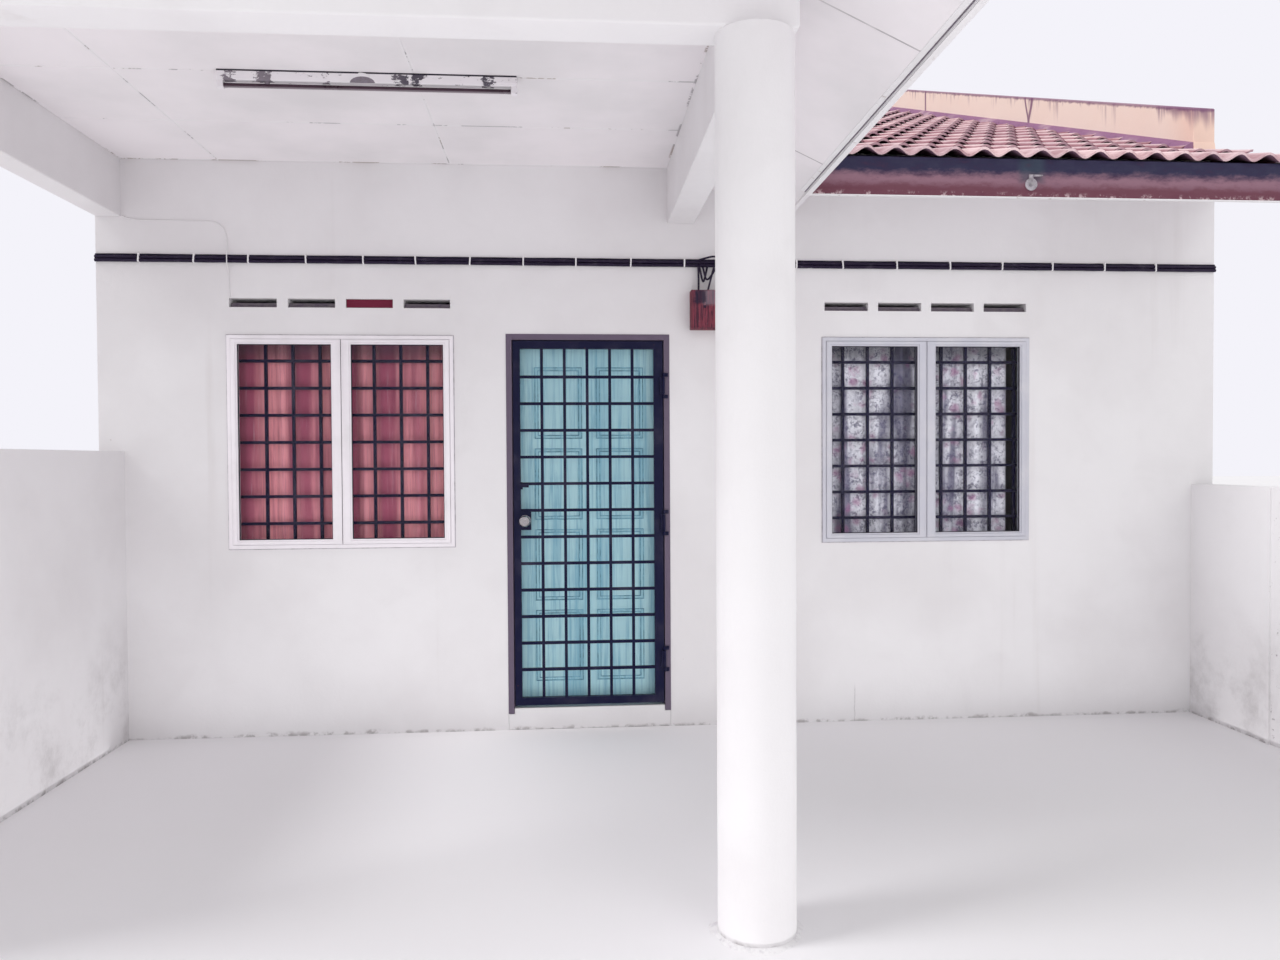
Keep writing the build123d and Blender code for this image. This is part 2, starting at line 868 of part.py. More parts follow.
parts = {
    "floor_slab": [
        block(-inner_x, inner_x, wall_thickness, house_depth - wall_thickness, 0, floor_level)
    ],
    "door_sill": [door_sill_shape()],
    "front_wall_left": [wall_left],
    "front_wall_right": [wall_right],
    "front_wall_upper": [wall_upper],
    "rear_wall": [rear_wall_shape()],
    "left_party_wall": [left_party_wall_shape()],
    "right_party_wall": [side_profile(party_outline(), inner_x, outer_x)],
    "left_parapet": [side_profile(parapet_outline(), -outer_x, -inner_x) & main_plan],
    "right_parapet": [side_profile(parapet_outline(), inner_x, outer_x)],
    "room_ceiling": [
        block(
            -inner_x,
            inner_x,
            wall_thickness,
            house_depth - wall_thickness,
            ceiling_level,
            ceiling_level + ceiling_board,
        )
    ],
    "main_roof_front": [main_slope(False)],
    "main_roof_rear": [main_slope(True)],
    "ridge_caps": [main_cap, porch_cap],
    "eave_fascias": [main_fascia(False), main_fascia(True)],
    "eave_end_boards": eave_end_boards_shape(),
    "eave_soffits": [main_soffit(False), main_soffit(True), side_soffit],
    "verge_soffit": [verge_soffit],
    "porch_columns": porch_columns_shape(),
    "front_beam": [
        block(
            -outer_x,
            side_beam_outer,
            front_beam_outer,
            front_beam_inner,
            beam_bottom,
            ceiling_level,
        )
    ],
    "side_beams": [
        block(side_beam_inner, side_beam_outer, front_beam_inner, 0, beam_bottom, ceiling_level),
        block(-outer_x, -inner_x, front_beam_inner, 0, beam_bottom, ceiling_level),
    ],
    "porch_ceiling": [
        block(
            -inner_x,
            side_beam_inner + 60,
            front_beam_inner,
            0,
            ceiling_level,
            ceiling_level + ceiling_board,
        )
    ],
    "porch_roof": [porch_slope()],
    "porch_gable_wall": [porch_gable_shape()],
    "porch_party_wall": [porch_party_shape()],
    "porch_fascia": [porch_fascia_shape()],
    "barge_board": [barge_board_shape()],
    "left_low_wall": [left_low_wall_shape()],
    "right_low_wall": [right_low_wall_shape()],
    "left_window_frame": [frames[0]],
    "right_window_frame": [frames[1]],
    "rear_window_frames": rear_frames,
    "window_glass": glass + rear_glass,
    "window_grilles": grilles + rear_grilles,
    "window_curtains": [curtain(left_window_start), curtain(right_window_start)],
    "door_frame": [door_frame_shape()],
    "door_hinges": door_hinge_shapes(),
    "rear_door": [rear_door_shape()],
    "security_grille": [security_grille_shape()],
    "grille_knob": [grille_knob_shape()],
    "front_door": [front_door_shape()],
    "meter_box": [
        block(
            meter_left,
            meter_left + meter_width,
            -meter_depth,
            0,
            meter_bottom,
            meter_bottom + meter_height,
        )
    ],
    "wall_cable": [wall_cable_shape()],
    "porch_lamp": [porch_lamp_shape()],
    "lamp_tube": [lamp_tube_shape()],
}

os.makedirs("parts", exist_ok=True)
for name, shapes in parts.items():
    export_step(solids_of(shapes), f"parts/{name}.step")
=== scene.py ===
"""Finishes and fine parts of a single-storey terraced house with a half-gabled porch.

Metres, in the frame of the CAD model: X along the front, Y into the house, Z up.
"""

import random
from math import pi, radians, sin, tan

import bmesh
import bpy
from bpy.props import (
    FloatProperty,
    FloatVectorProperty,
    IntProperty,
    PointerProperty,
)
from mathutils import Matrix, Vector


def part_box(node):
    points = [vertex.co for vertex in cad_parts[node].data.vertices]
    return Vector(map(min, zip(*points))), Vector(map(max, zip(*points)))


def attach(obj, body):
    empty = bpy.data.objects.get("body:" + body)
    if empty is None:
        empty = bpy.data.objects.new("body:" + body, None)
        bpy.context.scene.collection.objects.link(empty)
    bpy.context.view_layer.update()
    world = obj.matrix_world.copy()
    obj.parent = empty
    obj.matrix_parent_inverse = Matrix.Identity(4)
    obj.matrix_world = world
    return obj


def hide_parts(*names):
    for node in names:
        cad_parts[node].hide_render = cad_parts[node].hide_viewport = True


bl_info = {
    "name": "Terraced house",
    "version": (1, 0, 0),
    "blender": (4, 5, 0),
    "location": "3D View > Sidebar > House",
    "description": "Finishes and fine parts of a single-storey terraced house",
    "category": "Object",
}

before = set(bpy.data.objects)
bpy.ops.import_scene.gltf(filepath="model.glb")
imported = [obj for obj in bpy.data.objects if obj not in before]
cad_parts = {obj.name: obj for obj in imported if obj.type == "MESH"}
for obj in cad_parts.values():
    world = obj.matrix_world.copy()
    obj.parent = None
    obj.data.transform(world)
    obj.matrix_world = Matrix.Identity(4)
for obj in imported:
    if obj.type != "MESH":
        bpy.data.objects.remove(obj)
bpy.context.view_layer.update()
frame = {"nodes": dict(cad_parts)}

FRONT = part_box("front_wall_left")[0].y  # outer face of the front wall
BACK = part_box("rear_wall")[1].y
MIDDLE = (FRONT + BACK) / 2
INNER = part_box("floor_slab")[1].x  # inner face of a party wall
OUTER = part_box("right_party_wall")[1].x
BEAM = 0.15  # width of the front beam
CRACK = 0.988  # place of a hairline crack along the front wall
BRACKET_X, BRACKET_Z = 1.716, 2.868  # middle of the bracket on the front fascia
EAVE_TOP = 2.995  # underside of the tiles over the face of a fascia
HALF_SASH_GAP = 0.002  # between the middle of a window and a sash

# How far a roof rises in each metre
MAIN_RISE = tan(radians(22))
PORCH_RISE = tan(radians(25))

# Foot of the valley between the two roofs in plan, and the level line square to it
VALLEY = Vector((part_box("porch_fascia")[1].x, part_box("eave_fascias")[0].y, 0))
ACROSS = Vector((PORCH_RISE, MAIN_RISE, 0)).normalized()

# Clips along the cable bundle
CLIPS = (
    -2.888, -2.604, -2.322, -2.021, -1.719, -1.441, -1.149, -0.861, -0.574, -0.272,
    0.025, 0.340, 0.655, 0.918, 1.228, 1.536, 1.840, 2.135, 2.444, 2.750,
)  # fmt: skip


def paint(red, green, blue):
    """A paint shade from 0 to 255, as the linear colour that a shader takes."""
    shade = []
    for value in (red, green, blue):
        value /= 255
        shade.append(value / 12.92 if value <= 0.04045 else ((value + 0.055) / 1.055) ** 2.4)
    return tuple(shade)


def number(name, description, default):
    return FloatProperty(name=name, description=description, default=default)


def length(name, description, default):
    return FloatProperty(name=name, description=description, default=default, unit="LENGTH")


def turn(name, description, default):
    return FloatProperty(name=name, description=description, default=default, unit="ROTATION")


def colour(name, description, *shade):
    return FloatVectorProperty(
        name=name,
        description=description,
        default=paint(*shade),
        min=0,
        max=1,
        subtype="COLOR",
    )


class HouseView(bpy.types.PropertyGroup):
    """Camera, lamps and the ground"""

    lens: FloatProperty(name="Lens", description="Focal length in mm", default=27.0, min=1)
    place: FloatVectorProperty(
        name="Place",
        description="Where the camera stands",
        default=(-0.631, -9.584, 1.488),
        subtype="TRANSLATION",
    )
    heading: turn("Heading", "Turn of the camera to the right", 0.0759)
    tilt: turn("Tilt", "Tilt of the camera downward", 0.0208)
    lean: turn("Lean", "Lean of the camera to the left", -0.0056)
    sky_light: number("Sky light", "Light from all round", 0.88)
    key_light: number("Key", "Soft high light from the front", 0.27)
    fill_light: number("Fill", "Soft low light from the front", 0.20)
    side_light: number("Side", "Soft high light from the left", 1.45)
    bounce_light: number("Bounce", "Lamp that lights the ceiling", 54)
    sky: colour("Sky", "Backdrop", 244, 243, 250)
    ground: colour("Ground", "Plain floor", 236, 234, 236)


class HousePaint(bpy.types.PropertyGroup):
    """Colours of the house"""

    wall: colour("Wall", "White wall paint", 236, 234, 236)
    wall_shade: colour("Wall, worn", "Wall paint where it is worn and dusty", 225, 222, 224)
    grime: colour("Grime", "Splashes by the ground", 130, 122, 122)
    ceiling: colour("Ceiling", "Painted ceiling boards", 243, 238, 241)
    stain: colour("Stain", "Brown marks along joints", 128, 100, 82)
    joint: colour("Joint", "Open joints between boards", 124, 116, 122)
    tile: colour("Tile", "Clay red of the tiles", 168, 118, 126)
    # Crest and trough colours of the tiles: also a painted highlight on the crests and painted
    # shade in the troughs
    tile_crest_and_highlight: colour("Tile crest", "Weathered tops of the rolls", 240, 216, 216)
    tile_dirt_and_shade: colour("Tile dirt", "Dirt in the troughs", 88, 50, 70)
    parapet: colour("Parapet", "Peach coloured render", 254, 236, 224)
    parapet_end: colour("Parapet end", "Fresher render at the front end", 250, 214, 196)
    parapet_stain: colour("Parapet stain", "Dark runs on the render", 128, 86, 122)
    seal: colour("Seal", "Sealant and fine seams", 188, 182, 190)
    mortar: colour("Mortar", "Fillet at the foot of a parapet", 152, 110, 144)
    board: colour("Eave board", "Brown red board paint", 106, 56, 72)
    board_faded: colour("Eave board, faded", "Its faded middle", 142, 104, 120)
    # Painted shadow that the tiles cast along the top of the fascia
    board_shadow: colour("Eave board, sooty", "Under the tiles", 34, 30, 66)
    soot_green: colour("Eave board, stained", "Green stain by the bracket", 50, 68, 84)
    board_worn: colour("Eave board, worn", "Scuffs on the boards", 214, 190, 194)
    window_left: colour("Left frame", "White window frame", 246, 241, 246)
    window_right: colour("Right frame", "Silver window frame", 200, 200, 210)
    # Also the colour of painted shade on the curtain tops and in the hole of the meter box
    bar: colour("Window bars", "Dark bar paint", 12, 6, 42)
    leaf: colour("Grille leaf", "Dark blue paint of the grille", 8, 10, 48)
    doorframe: colour("Door frame", "Purple grey frame paint", 104, 92, 110)
    door: colour("Door", "Blue green door skin", 198, 243, 252)
    door_grain: colour("Door grain", "Grain lines of the door", 142, 202, 224)
    # The beads take this colour as painted shade along the panel edges
    door_shade: colour("Door mouldings", "Dusty lines of the door", 84, 134, 158)
    curtain_red: colour("Left curtain", "Brick red cloth", 244, 156, 164)
    curtain_red_deep: colour("Left curtain, deep", "Its darker bands", 162, 62, 94)
    curtain_pale: colour("Right curtain", "Pale cloth", 242, 240, 246)
    blossom: colour("Blossom", "Small flowers on the pale cloth", 176, 104, 152)
    leafage: colour("Leaves", "Grey leaves on the pale cloth", 84, 78, 110)
    box_wood: colour("Meter box", "Weathered red wood", 132, 54, 70)
    box_shade: colour("Meter box, dark", "Dark grain of the wood", 60, 24, 44)
    sheath: colour("Cables", "Dark cable sheath", 30, 18, 46)
    steel: colour("Bare steel", "Zinc and bright steel", 168, 164, 166)
    rust: colour("Rust", "Rust on small steel parts", 120, 74, 56)
    enamel: colour("Lamp", "White enamel of the lamp", 236, 232, 236)
    primer: colour("Lamp, bare", "Grey where the enamel has peeled", 138, 130, 142)
    rubber: colour("Rubber", "Rubber round the glass", 34, 30, 42)
    rubber_dusty: colour("Rubber, dusty", "Dust on the rubber", 62, 56, 68)
    # Dark colours of the tube, and a painted highlight along its underside
    tube: colour("Tube", "Sooty glass of the old tube", 44, 22, 36)
    tube_soot: colour("Tube, sooty", "Its lighter soot", 70, 48, 62)
    tube_underside_light: colour("Tube, pale", "Its underside", 176, 166, 174)
    screed: colour("Screed", "Cement floor", 178, 174, 172)
    screed_dark: colour("Screed, dark", "Clouds in the cement", 150, 146, 146)
    screed_grit: colour("Screed, grit", "Grit in the cement", 120, 114, 112)
    vent_board: colour("Vent board", "Red board in a vent slot", 128, 14, 58)
    vent_board_dark: colour("Vent board, dark", "Its grain", 90, 10, 40)


class HouseRoof(bpy.types.PropertyGroup):
    """Sizes of the roof covering"""

    roll: length("Roll", "Width of one roll of a tile", 0.150)
    rise: length("Rise", "Height of a roll over its trough", 0.036)
    gauge: length("Gauge", "Slope covered by one course", 0.345)
    lap: length("Lap", "How far a course runs under the next", 0.075)
    thickness: length("Thickness", "Thickness of a tile", 0.012)
    fall: length("Fall", "How much lower the head of a tile lies than its tail", 0.0145)
    taper: length("Taper", "How much lower a roll is at the head of its tile", 0.021)
    tilt: length("Tilt", "Lift of the first course along an eave", 0.009)
    build: length("Build", "Tiles with their battens, square to the slope", 0.050)
    valley: length("Valley", "Open gutter on each side of the valley line", 0.045)
    cap_radius: length("Cap radius", "Radius of a ridge cap", 0.115)
    cap_bed: length("Cap bed", "How far a cap's centre lies below the crest", 0.045)
    cap_gauge: length("Cap gauge", "Porch ridge that one cap covers", 0.373)
    cap_count: IntProperty(name="Caps", description="Caps along the main ridge", default=16)


class HouseWindows(bpy.types.PropertyGroup):
    """Sizes of the windows and their curtains"""

    margin: length("Margin", "From the frame's side to the glass", 0.054)
    rail: length("Rail", "From the frame's top or bottom to the glass", 0.048)
    meeting: length("Meeting", "Between the panes of one window", 0.104)
    face: length("Face", "Width of the fixed frame", 0.020)
    sash_gap: length("Gap", "Between the fixed frame and a sash", 0.0016)
    bead: length("Rubber", "Width of the rubber round the glass", 0.004)
    fold: length("Fold", "Depth of the curtain folds", 0.0095)
    folds: IntProperty(name="Folds", description="Folds of a curtain", default=13)
    hem: length("Hem", "From the frame's side to the curtain", 0.007)
    bare: length("Bare", "Part of the right window that its curtain leaves open", 0.078)
    drop: length("Drop", "Height of a curtain", 1.147)
    left_cloth: length("Left cloth", "Width of the left curtain, laid flat", 1.260)
    right_cloth: length("Right cloth", "Width of the right curtain, laid flat", 1.184)


class HouseDoor(bpy.types.PropertyGroup):
    """Panels of the front door"""

    width: length("Width", "Width of a panel", 0.265)
    height: length("Height", "Height of a panel", 0.400)
    column_pitch: length("Column pitch", "From one column of panels to the other", 0.343)
    row_pitch: length("Row pitch", "From one row of panels to the next", 0.453)
    top: length("Top", "From the door's top to the first panel", 0.136)
    groove: length("Groove", "From the outer bead of a panel to its inner one", 0.0170)
    line: length("Line", "Width of a bead", 0.005)
    frame: length("Frame", "Width of the door frame", 0.032)


class HouseVents(bpy.types.PropertyGroup):
    """Slots over the windows"""

    first: length("First", "From the window's side to the first slot", 0.0145)
    width: length("Width", "Width of a slot", 0.250)
    pitch: length("Pitch", "From one slot to the next", 0.307)
    sill: length("Sill", "Height of the slots over the ground", 2.320)


class HouseCeiling(bpy.types.PropertyGroup):
    """Boards of the porch ceiling"""

    board_x: length("Board length", "Along the front", 1.220)
    board_y: length("Board width", "Into the house", 0.600)
    joint_x: length("First joint", "One joint across the ceiling", -2.475)
    joint_y: length("First row", "One joint along the front wall", -0.610)


# Finishes
class Nodes:
    """Shader nodes of a material or a world; a colour may be the name of a house paint."""

    def __init__(self, owner):
        owner.use_nodes = True
        self.tree = owner.node_tree
        self.tree.nodes.clear()

    def add(self, kind, sockets=None, **settings):
        node = self.tree.nodes.new("ShaderNode" + kind)
        for name, value in settings.items():
            setattr(node, name, value)
        for name, value in (sockets or {}).items():
            self.feed(node.inputs[name], value)
        return node

    def feed(self, socket, value):
        if isinstance(value, str):
            value = getattr(bpy.context.scene.house_paint, value)
        if isinstance(value, bpy.types.NodeSocket):
            self.tree.links.new(value, socket)
        elif socket.type == "RGBA" and len(value) == 3:
            socket.default_value = (*value, 1.0)
        else:
            socket.default_value = value

    def sum(self, how, first, second=0.0):
        return self.add("Math", {0: first, 1: second}, operation=how).outputs["Value"]


class Finish(Nodes):
    """One material, read in object coordinates, with the coats and bumps made so far."""

    def __init__(self, name):
        self.material = bpy.data.materials.new("coat_" + name)
        super().__init__(self.material)
        self.where = self.add("TexCoord").outputs["Object"]
        self.split = None
        self.shade = None
        self.normal = None

    def axis(self, letter):
        if self.split is None:
            self.split = self.add("SeparateXYZ", {"Vector": self.where})
        return self.split.outputs[letter]

    def stretched(self, x, y, z):
        return self.add("Mapping", {"Vector": self.where, "Scale": (x, y, z)}).outputs["Vector"]

    def noise(self, scale, detail=4.0, rough=0.55, where=None, bend=0.0):
        sockets = {
            "Vector": where or self.where,
            "Scale": scale,
            "Detail": detail,
            "Roughness": rough,
            "Distortion": bend,
        }
        return self.add("TexNoise", sockets).outputs["Fac"]

    def cells(self, scale, where=None):
        sockets = {"Vector": where or self.where, "Scale": scale}
        return self.add("TexVoronoi", sockets).outputs["Distance"]

    def carried(self, name):
        """A value that the piece's own mesh carries."""
        return self.add("Attribute", attribute_name=name).outputs["Fac"]

    def fade(self, value, low, high, start=0.0, end=1.0):
        sockets = {
            "Value": value,
            "From Min": low,
            "From Max": high,
            "To Min": start,
            "To Max": end,
        }
        return self.add("MapRange", sockets, interpolation_type="SMOOTHSTEP").outputs["Result"]

    def both(self, first, second):
        return self.sum("MULTIPLY", first, second)

    def ragged(self, value, wobble, reach):
        """A value that wanders up and down with a noise, that far at most."""
        return self.sum("ADD", value, self.fade(wobble, 0, 1, -reach, reach))

    def off(self, value, place):
        """How far a value is from a place."""
        return self.sum("ABSOLUTE", self.sum("SUBTRACT", value, place))

    def near(self, value, place, width):
        """One within the width of a place, fading to nothing."""
        return self.fade(self.off(value, place), width * 0.4, width, 1.0, 0.0)

    def joints(self, value, place, pitch, width):
        """One along evenly spaced lines, of which one lies at the place."""
        shifted = self.sum("SUBTRACT", value, place - 50 * pitch)
        off = self.sum("PINGPONG", shifted, pitch / 2)
        return self.fade(off, width * 0.4, width, 1.0, 0.0)

    def blend(self, amount, under, over, how="MIX"):
        sockets = {0: amount, 6: under, 7: over}
        return self.add("Mix", sockets, data_type="RGBA", blend_type=how).outputs[2]

    def start(self, amount, under, over):
        """The first coat: one shade that turns into another."""
        self.shade = self.blend(amount, under, over)

    def lay(self, over, amount, much=None):
        """One more coat, laid by an amount, which may be made weaker."""
        if much is not None:
            amount = self.both(amount, much)
        self.shade = self.blend(amount, self.shade, over)

    def dent(self, height, depth, strength):
        """Bumps, on top of those made before."""
        sockets = {"Height": height, "Distance": depth, "Strength": strength}
        if self.normal is not None:
            sockets["Normal"] = self.normal
        self.normal = self.add("Bump", sockets).outputs["Normal"]

    def skin(self, roughness, **settings):
        """Closes the material with its coats and bumps."""
        sockets = {"Base Color": self.shade, "Roughness": roughness}
        if self.normal is not None:
            sockets["Normal"] = self.normal
        for name, value in settings.items():
            sockets[name.replace("_", " ")] = value
        surface = self.add("BsdfPrincipled", sockets).outputs["BSDF"]
        self.add("OutputMaterial", {"Surface": surface})


FINISHES = {}


def coating(maker):
    """Lists a finish under the name of the function that makes it."""
    FINISHES[maker.__name__] = maker
    return maker


def finish(name):
    """The named finish, made the first time it is asked for."""
    found = bpy.data.materials.get("coat_" + name)
    if found is None:
        made = Finish(name)
        if name in DUSTY_COATS:
            dusty_coat(made, *DUSTY_COATS[name])
        else:
            FINISHES[name](made)
        found = made.material
    return found


def plastered(made):
    """White wall paint: faint clouds, runs and specks, and splashes by the ground."""
    made.start(made.fade(made.noise(0.8, 5), 0.35, 0.7), "wall", "wall_shade")
    made.lay("wall_shade", made.fade(made.noise(3.2, 4, bend=0.6), 0.5, 0.8, 0, 0.35))
    level = made.ragged(made.axis("Z"), made.noise(9, 5), 0.02)
    splash = made.both(made.fade(level, 0, 0.022, 1, 0), made.fade(made.noise(24, 6), 0.42, 0.6))
    made.lay("grime", splash, 0.6)
    runs = made.noise(6, 4, where=made.stretched(1, 1, 0.05))
    made.lay("stain", made.fade(runs, 0.62, 0.85, 0, 0.14))
    made.lay("stain", made.fade(made.cells(2.3), 0.0, 0.014, 1, 0), 0.5)
    return level


def floated(made):
    """The wavy and gritty face that a wooden float leaves."""
    fine = made.noise(70, 5, 0.65)
    made.dent(made.noise(7, 5, where=made.stretched(1, 1, 0.7)), 0.006, 0.5)
    made.dent(fine, 0.0015, 0.45)
    made.skin(made.fade(fine, 0, 1, 0.72, 0.95))


@coating
def wall_paint(made):
    """Wall paint with a hairline crack by the ground."""
    level = plastered(made)
    line = made.ragged(made.axis("X"), made.noise(30), 0.004)
    crack = made.both(made.near(line, CRACK, 0.0035), made.fade(level, 0.16, 0.22, 1, 0))
    made.lay("joint", crack, 0.3)
    floated(made)


@coating
def boundary_paint(made):
    """Wall paint of a low wall, smudged low down, with black mould at the front right."""
    plastered(made)
    smudge = made.fade(made.noise(2.6, 6, 0.7), 0.45, 0.75)
    made.lay("grime", made.both(made.fade(made.axis("Z"), 0.1, 0.8, 1, 0), smudge), 0.4)
    front = made.fade(made.axis("Y"), FRONT - 0.66, FRONT - 0.62, 1, 0)
    right = made.fade(made.axis("X"), 2.5, 2.6)
    mould = made.fade(made.noise(21, 7, 0.8), 0.60, 0.66)
    made.lay("joint", made.both(mould, made.both(front, right)), 0.8)
    floated(made)


@coating
def ceiling_paint(made):
    """Painted boards: joints filled pale, open here and there to brown and grey dashes."""
    sizes = bpy.context.scene.house_ceiling
    made.start(made.fade(made.noise(1.1, 5), 0.35, 0.75), "ceiling", "wall_shade")
    across = (made.axis("X"), sizes.joint_x, sizes.board_x)
    along = (made.axis("Y"), FRONT + sizes.joint_y, sizes.board_y)
    filled = made.sum("MAXIMUM", made.joints(*across, 0.014), made.joints(*along, 0.014))
    whole = made.fade(made.noise(2.3, 3), 0.38, 0.55)
    made.lay("wall", made.both(filled, whole), 0.6)
    opened = made.sum("MAXIMUM", made.joints(*across, 0.004), made.joints(*along, 0.0075))
    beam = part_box("front_beam")[1].x - BEAM
    for axis, place in (("Y", FRONT), ("X", -INNER), ("X", beam)):
        opened = made.sum("MAXIMUM", opened, made.near(made.axis(axis), place, 0.014))
    dashes = made.fade(made.noise(4.4, 5, 0.75), 0.52, 0.56)
    hue = made.blend(made.fade(made.noise(1.7, 2), 0.45, 0.55), "stain", "joint")
    made.lay(hue, made.both(opened, dashes), 0.6)
    fine = made.noise(60, 4)
    made.dent(made.noise(4, 3), 0.003, 0.3)
    made.dent(fine, 0.0008, 0.3)
    made.skin(made.fade(fine, 0, 1, 0.7, 0.9))


@coating
def soffit_paint(made):
    """Painted eave boards with dark joints square to the eave."""
    made.start(made.fade(made.noise(1.3, 5), 0.3, 0.75), "ceiling", "wall_shade")
    line = made.joints(made.axis("Y"), FRONT - 1.010, 1.205, 0.0055)
    made.lay("joint", line, made.fade(made.noise(5, 3), 0.3, 0.6, 0.2, 0.65))
    fine = made.noise(55, 4)
    made.dent(made.noise(3, 3), 0.004, 0.3)
    made.dent(line, 0.002, 0.6)
    made.skin(made.fade(fine, 0, 1, 0.66, 0.88))


@coating
def parapet_render(made):
    """Peach render, stained dark along its top, with runs and open joints."""
    y = made.axis("Y")
    from_ridge = made.off(y, MIDDLE)
    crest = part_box("right_parapet")[1].z
    top = made.sum("SUBTRACT", crest, made.both(from_ridge, MAIN_RISE))
    depth = made.sum("SUBTRACT", top, made.axis("Z"))
    broad = made.fade(made.noise(2.2, 5), 0.35, 0.75, 0, 0.4)
    made.start(made.both(broad, 0.4), "parapet", "parapet_end")
    made.lay("parapet_end", made.fade(y, FRONT, FRONT + 0.3, 0.7, 0))
    runs = made.noise(24, 5, 0.7, where=made.stretched(1, 1, 0.04))
    reach = made.fade(made.noise(5, 3, where=made.stretched(1, 1, 0.02)), 0.35, 0.75, 0.02, 0.22)
    upper = made.fade(made.sum("DIVIDE", depth, reach), 0.1, 1.0, 1, 0)
    ends = made.fade(made.off(from_ridge, 5.35), 0, 0.35, 0.3, 0)
    streaks = made.both(upper, made.fade(made.sum("ADD", runs, ends), 0.48, 0.72))
    made.lay("parapet_stain", streaks, 0.75)
    crown = made.fade(made.ragged(depth, made.noise(26), 0.012), 0.008, 0.026, 1, 0)
    made.lay("parapet_stain", crown, 0.8)
    lean = made.fade(depth, 0, 0.21, 1, 0)
    cracks = made.near(y, FRONT + 4.15, 0.026)
    for sway, width in ((0.055, 0.018), (-0.06, 0.024)):
        crack = made.sum("SUBTRACT", y, made.both(lean, sway))
        cracks = made.sum("MAXIMUM", cracks, made.near(crack, FRONT + 1.99, width))
    cracks = made.sum("MAXIMUM", cracks, made.near(y, BACK - 1.99, 0.03))
    made.lay("parapet_stain", cracks, 0.85)
    fine = made.noise(55, 5, 0.65)
    made.dent(made.noise(6, 4), 0.006, 0.5)
    made.dent(fine, 0.0018, 0.5)
    made.dent(made.sum("SUBTRACT", 1.0, cracks), 0.004, 0.8)
    made.skin(made.fade(fine, 0, 1, 0.75, 0.95))


@coating
def roof_tile(made):
    """Concrete tile: worn crests and dirty troughs, also painted highlight on the crests and
    painted shade in the troughs; one random tint to each tile, with painted shade under it and on
    its tail.
    """
    patchy = made.noise(5, 6, 0.65)
    fine = made.noise(38, 5, 0.7)
    worn = made.sum("ADD", made.carried("crest"), made.fade(patchy, 0.2, 0.8, -0.1, 0.1))
    # Crest to trough: wear and dirt, with a painted highlight on the crests and painted shade in
    # the troughs
    made.start(made.fade(worn, 0.20, 0.46), "tile_dirt_and_shade", "tile")
    made.lay("tile_crest_and_highlight", made.fade(worn, 0.50, 0.84))
    # Random tint of each tile, times painted shade on its underside and, together with dirt, on its
    # tail
    light = made.blend(made.carried("tone"), (0.34, 0.25, 0.37), (1.06, 1.02, 1.04))
    made.shade = made.blend(1.0, made.shade, light, "MULTIPLY")
    made.lay("tile_dirt_and_shade", made.fade(made.noise(11, 6, 0.75), 0.58, 0.74), 0.35)
    made.dent(patchy, 0.004, 0.4)
    made.dent(fine, 0.0012, 0.5)
    made.skin(made.fade(fine, 0, 1, 0.72, 0.98))


@coating
def mortar(made):
    """Grey mortar under ridge caps and along the parapets."""
    lumps = made.noise(16, 5, 0.65)
    made.start(made.fade(lumps, 0.5, 0.8, 0, 0.7), "mortar", "tile_dirt_and_shade")
    made.lay("tile_crest_and_highlight", made.fade(made.noise(4), 0.5, 0.8, 0, 0.5))
    made.dent(lumps, 0.006, 0.6)
    made.skin(made.fade(lumps, 0, 1, 0.8, 1.0))


def board_grain(made):
    return made.noise(9, 6, 0.7, where=made.stretched(1, 1, 2.2))


def board_paint(made, wear, chips):
    """Wear and chips over brown red board paint."""
    made.lay("tile_dirt_and_shade", made.fade(wear, 0.5, 0.78, 0, 0.4))
    made.lay("board_worn", chips, 0.8)
    made.dent(wear, 0.002, 0.4)
    made.dent(made.sum("SUBTRACT", 1.0, chips), 0.0006, 0.8)
    made.skin(made.fade(wear, 0.2, 0.8, 0.55, 0.85))


@coating
def eave_board(made):
    """Board paint, faded across its middle, with a painted shadow of the tiles along its top."""
    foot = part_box("eave_fascias")[0].z
    wear = board_grain(made)
    level = made.ragged(made.axis("Z"), wear, 0.03)
    made.start(made.fade(level, foot + 0.035, foot + 0.08), "board", "board_faded")
    # Painted shadow of the tiles, dark along the top of the board
    made.lay("board_shadow", made.fade(level, foot + 0.085, foot + 0.135))
    stain = made.both(
        made.near(made.axis("X"), BRACKET_X + 0.004, 0.09),
        made.near(made.axis("Y"), MIDDLE - 6.1, 0.3),
    )
    made.lay("soot_green", made.both(stain, made.fade(level, foot + 0.05, foot + 0.09)), 0.6)
    low = made.fade(made.axis("Z"), foot, foot + 0.03, 1, 0)
    board_paint(made, wear, made.both(low, made.fade(made.noise(17, 6, 0.75), 0.52, 0.60)))


@coating
def verge_board(made):
    """Board paint, faded in patches."""
    wear = board_grain(made)
    made.start(made.fade(wear, 0.3, 0.7), "board", "board_faded")
    board_paint(made, wear, made.fade(made.noise(15, 6, 0.75), 0.66, 0.70))


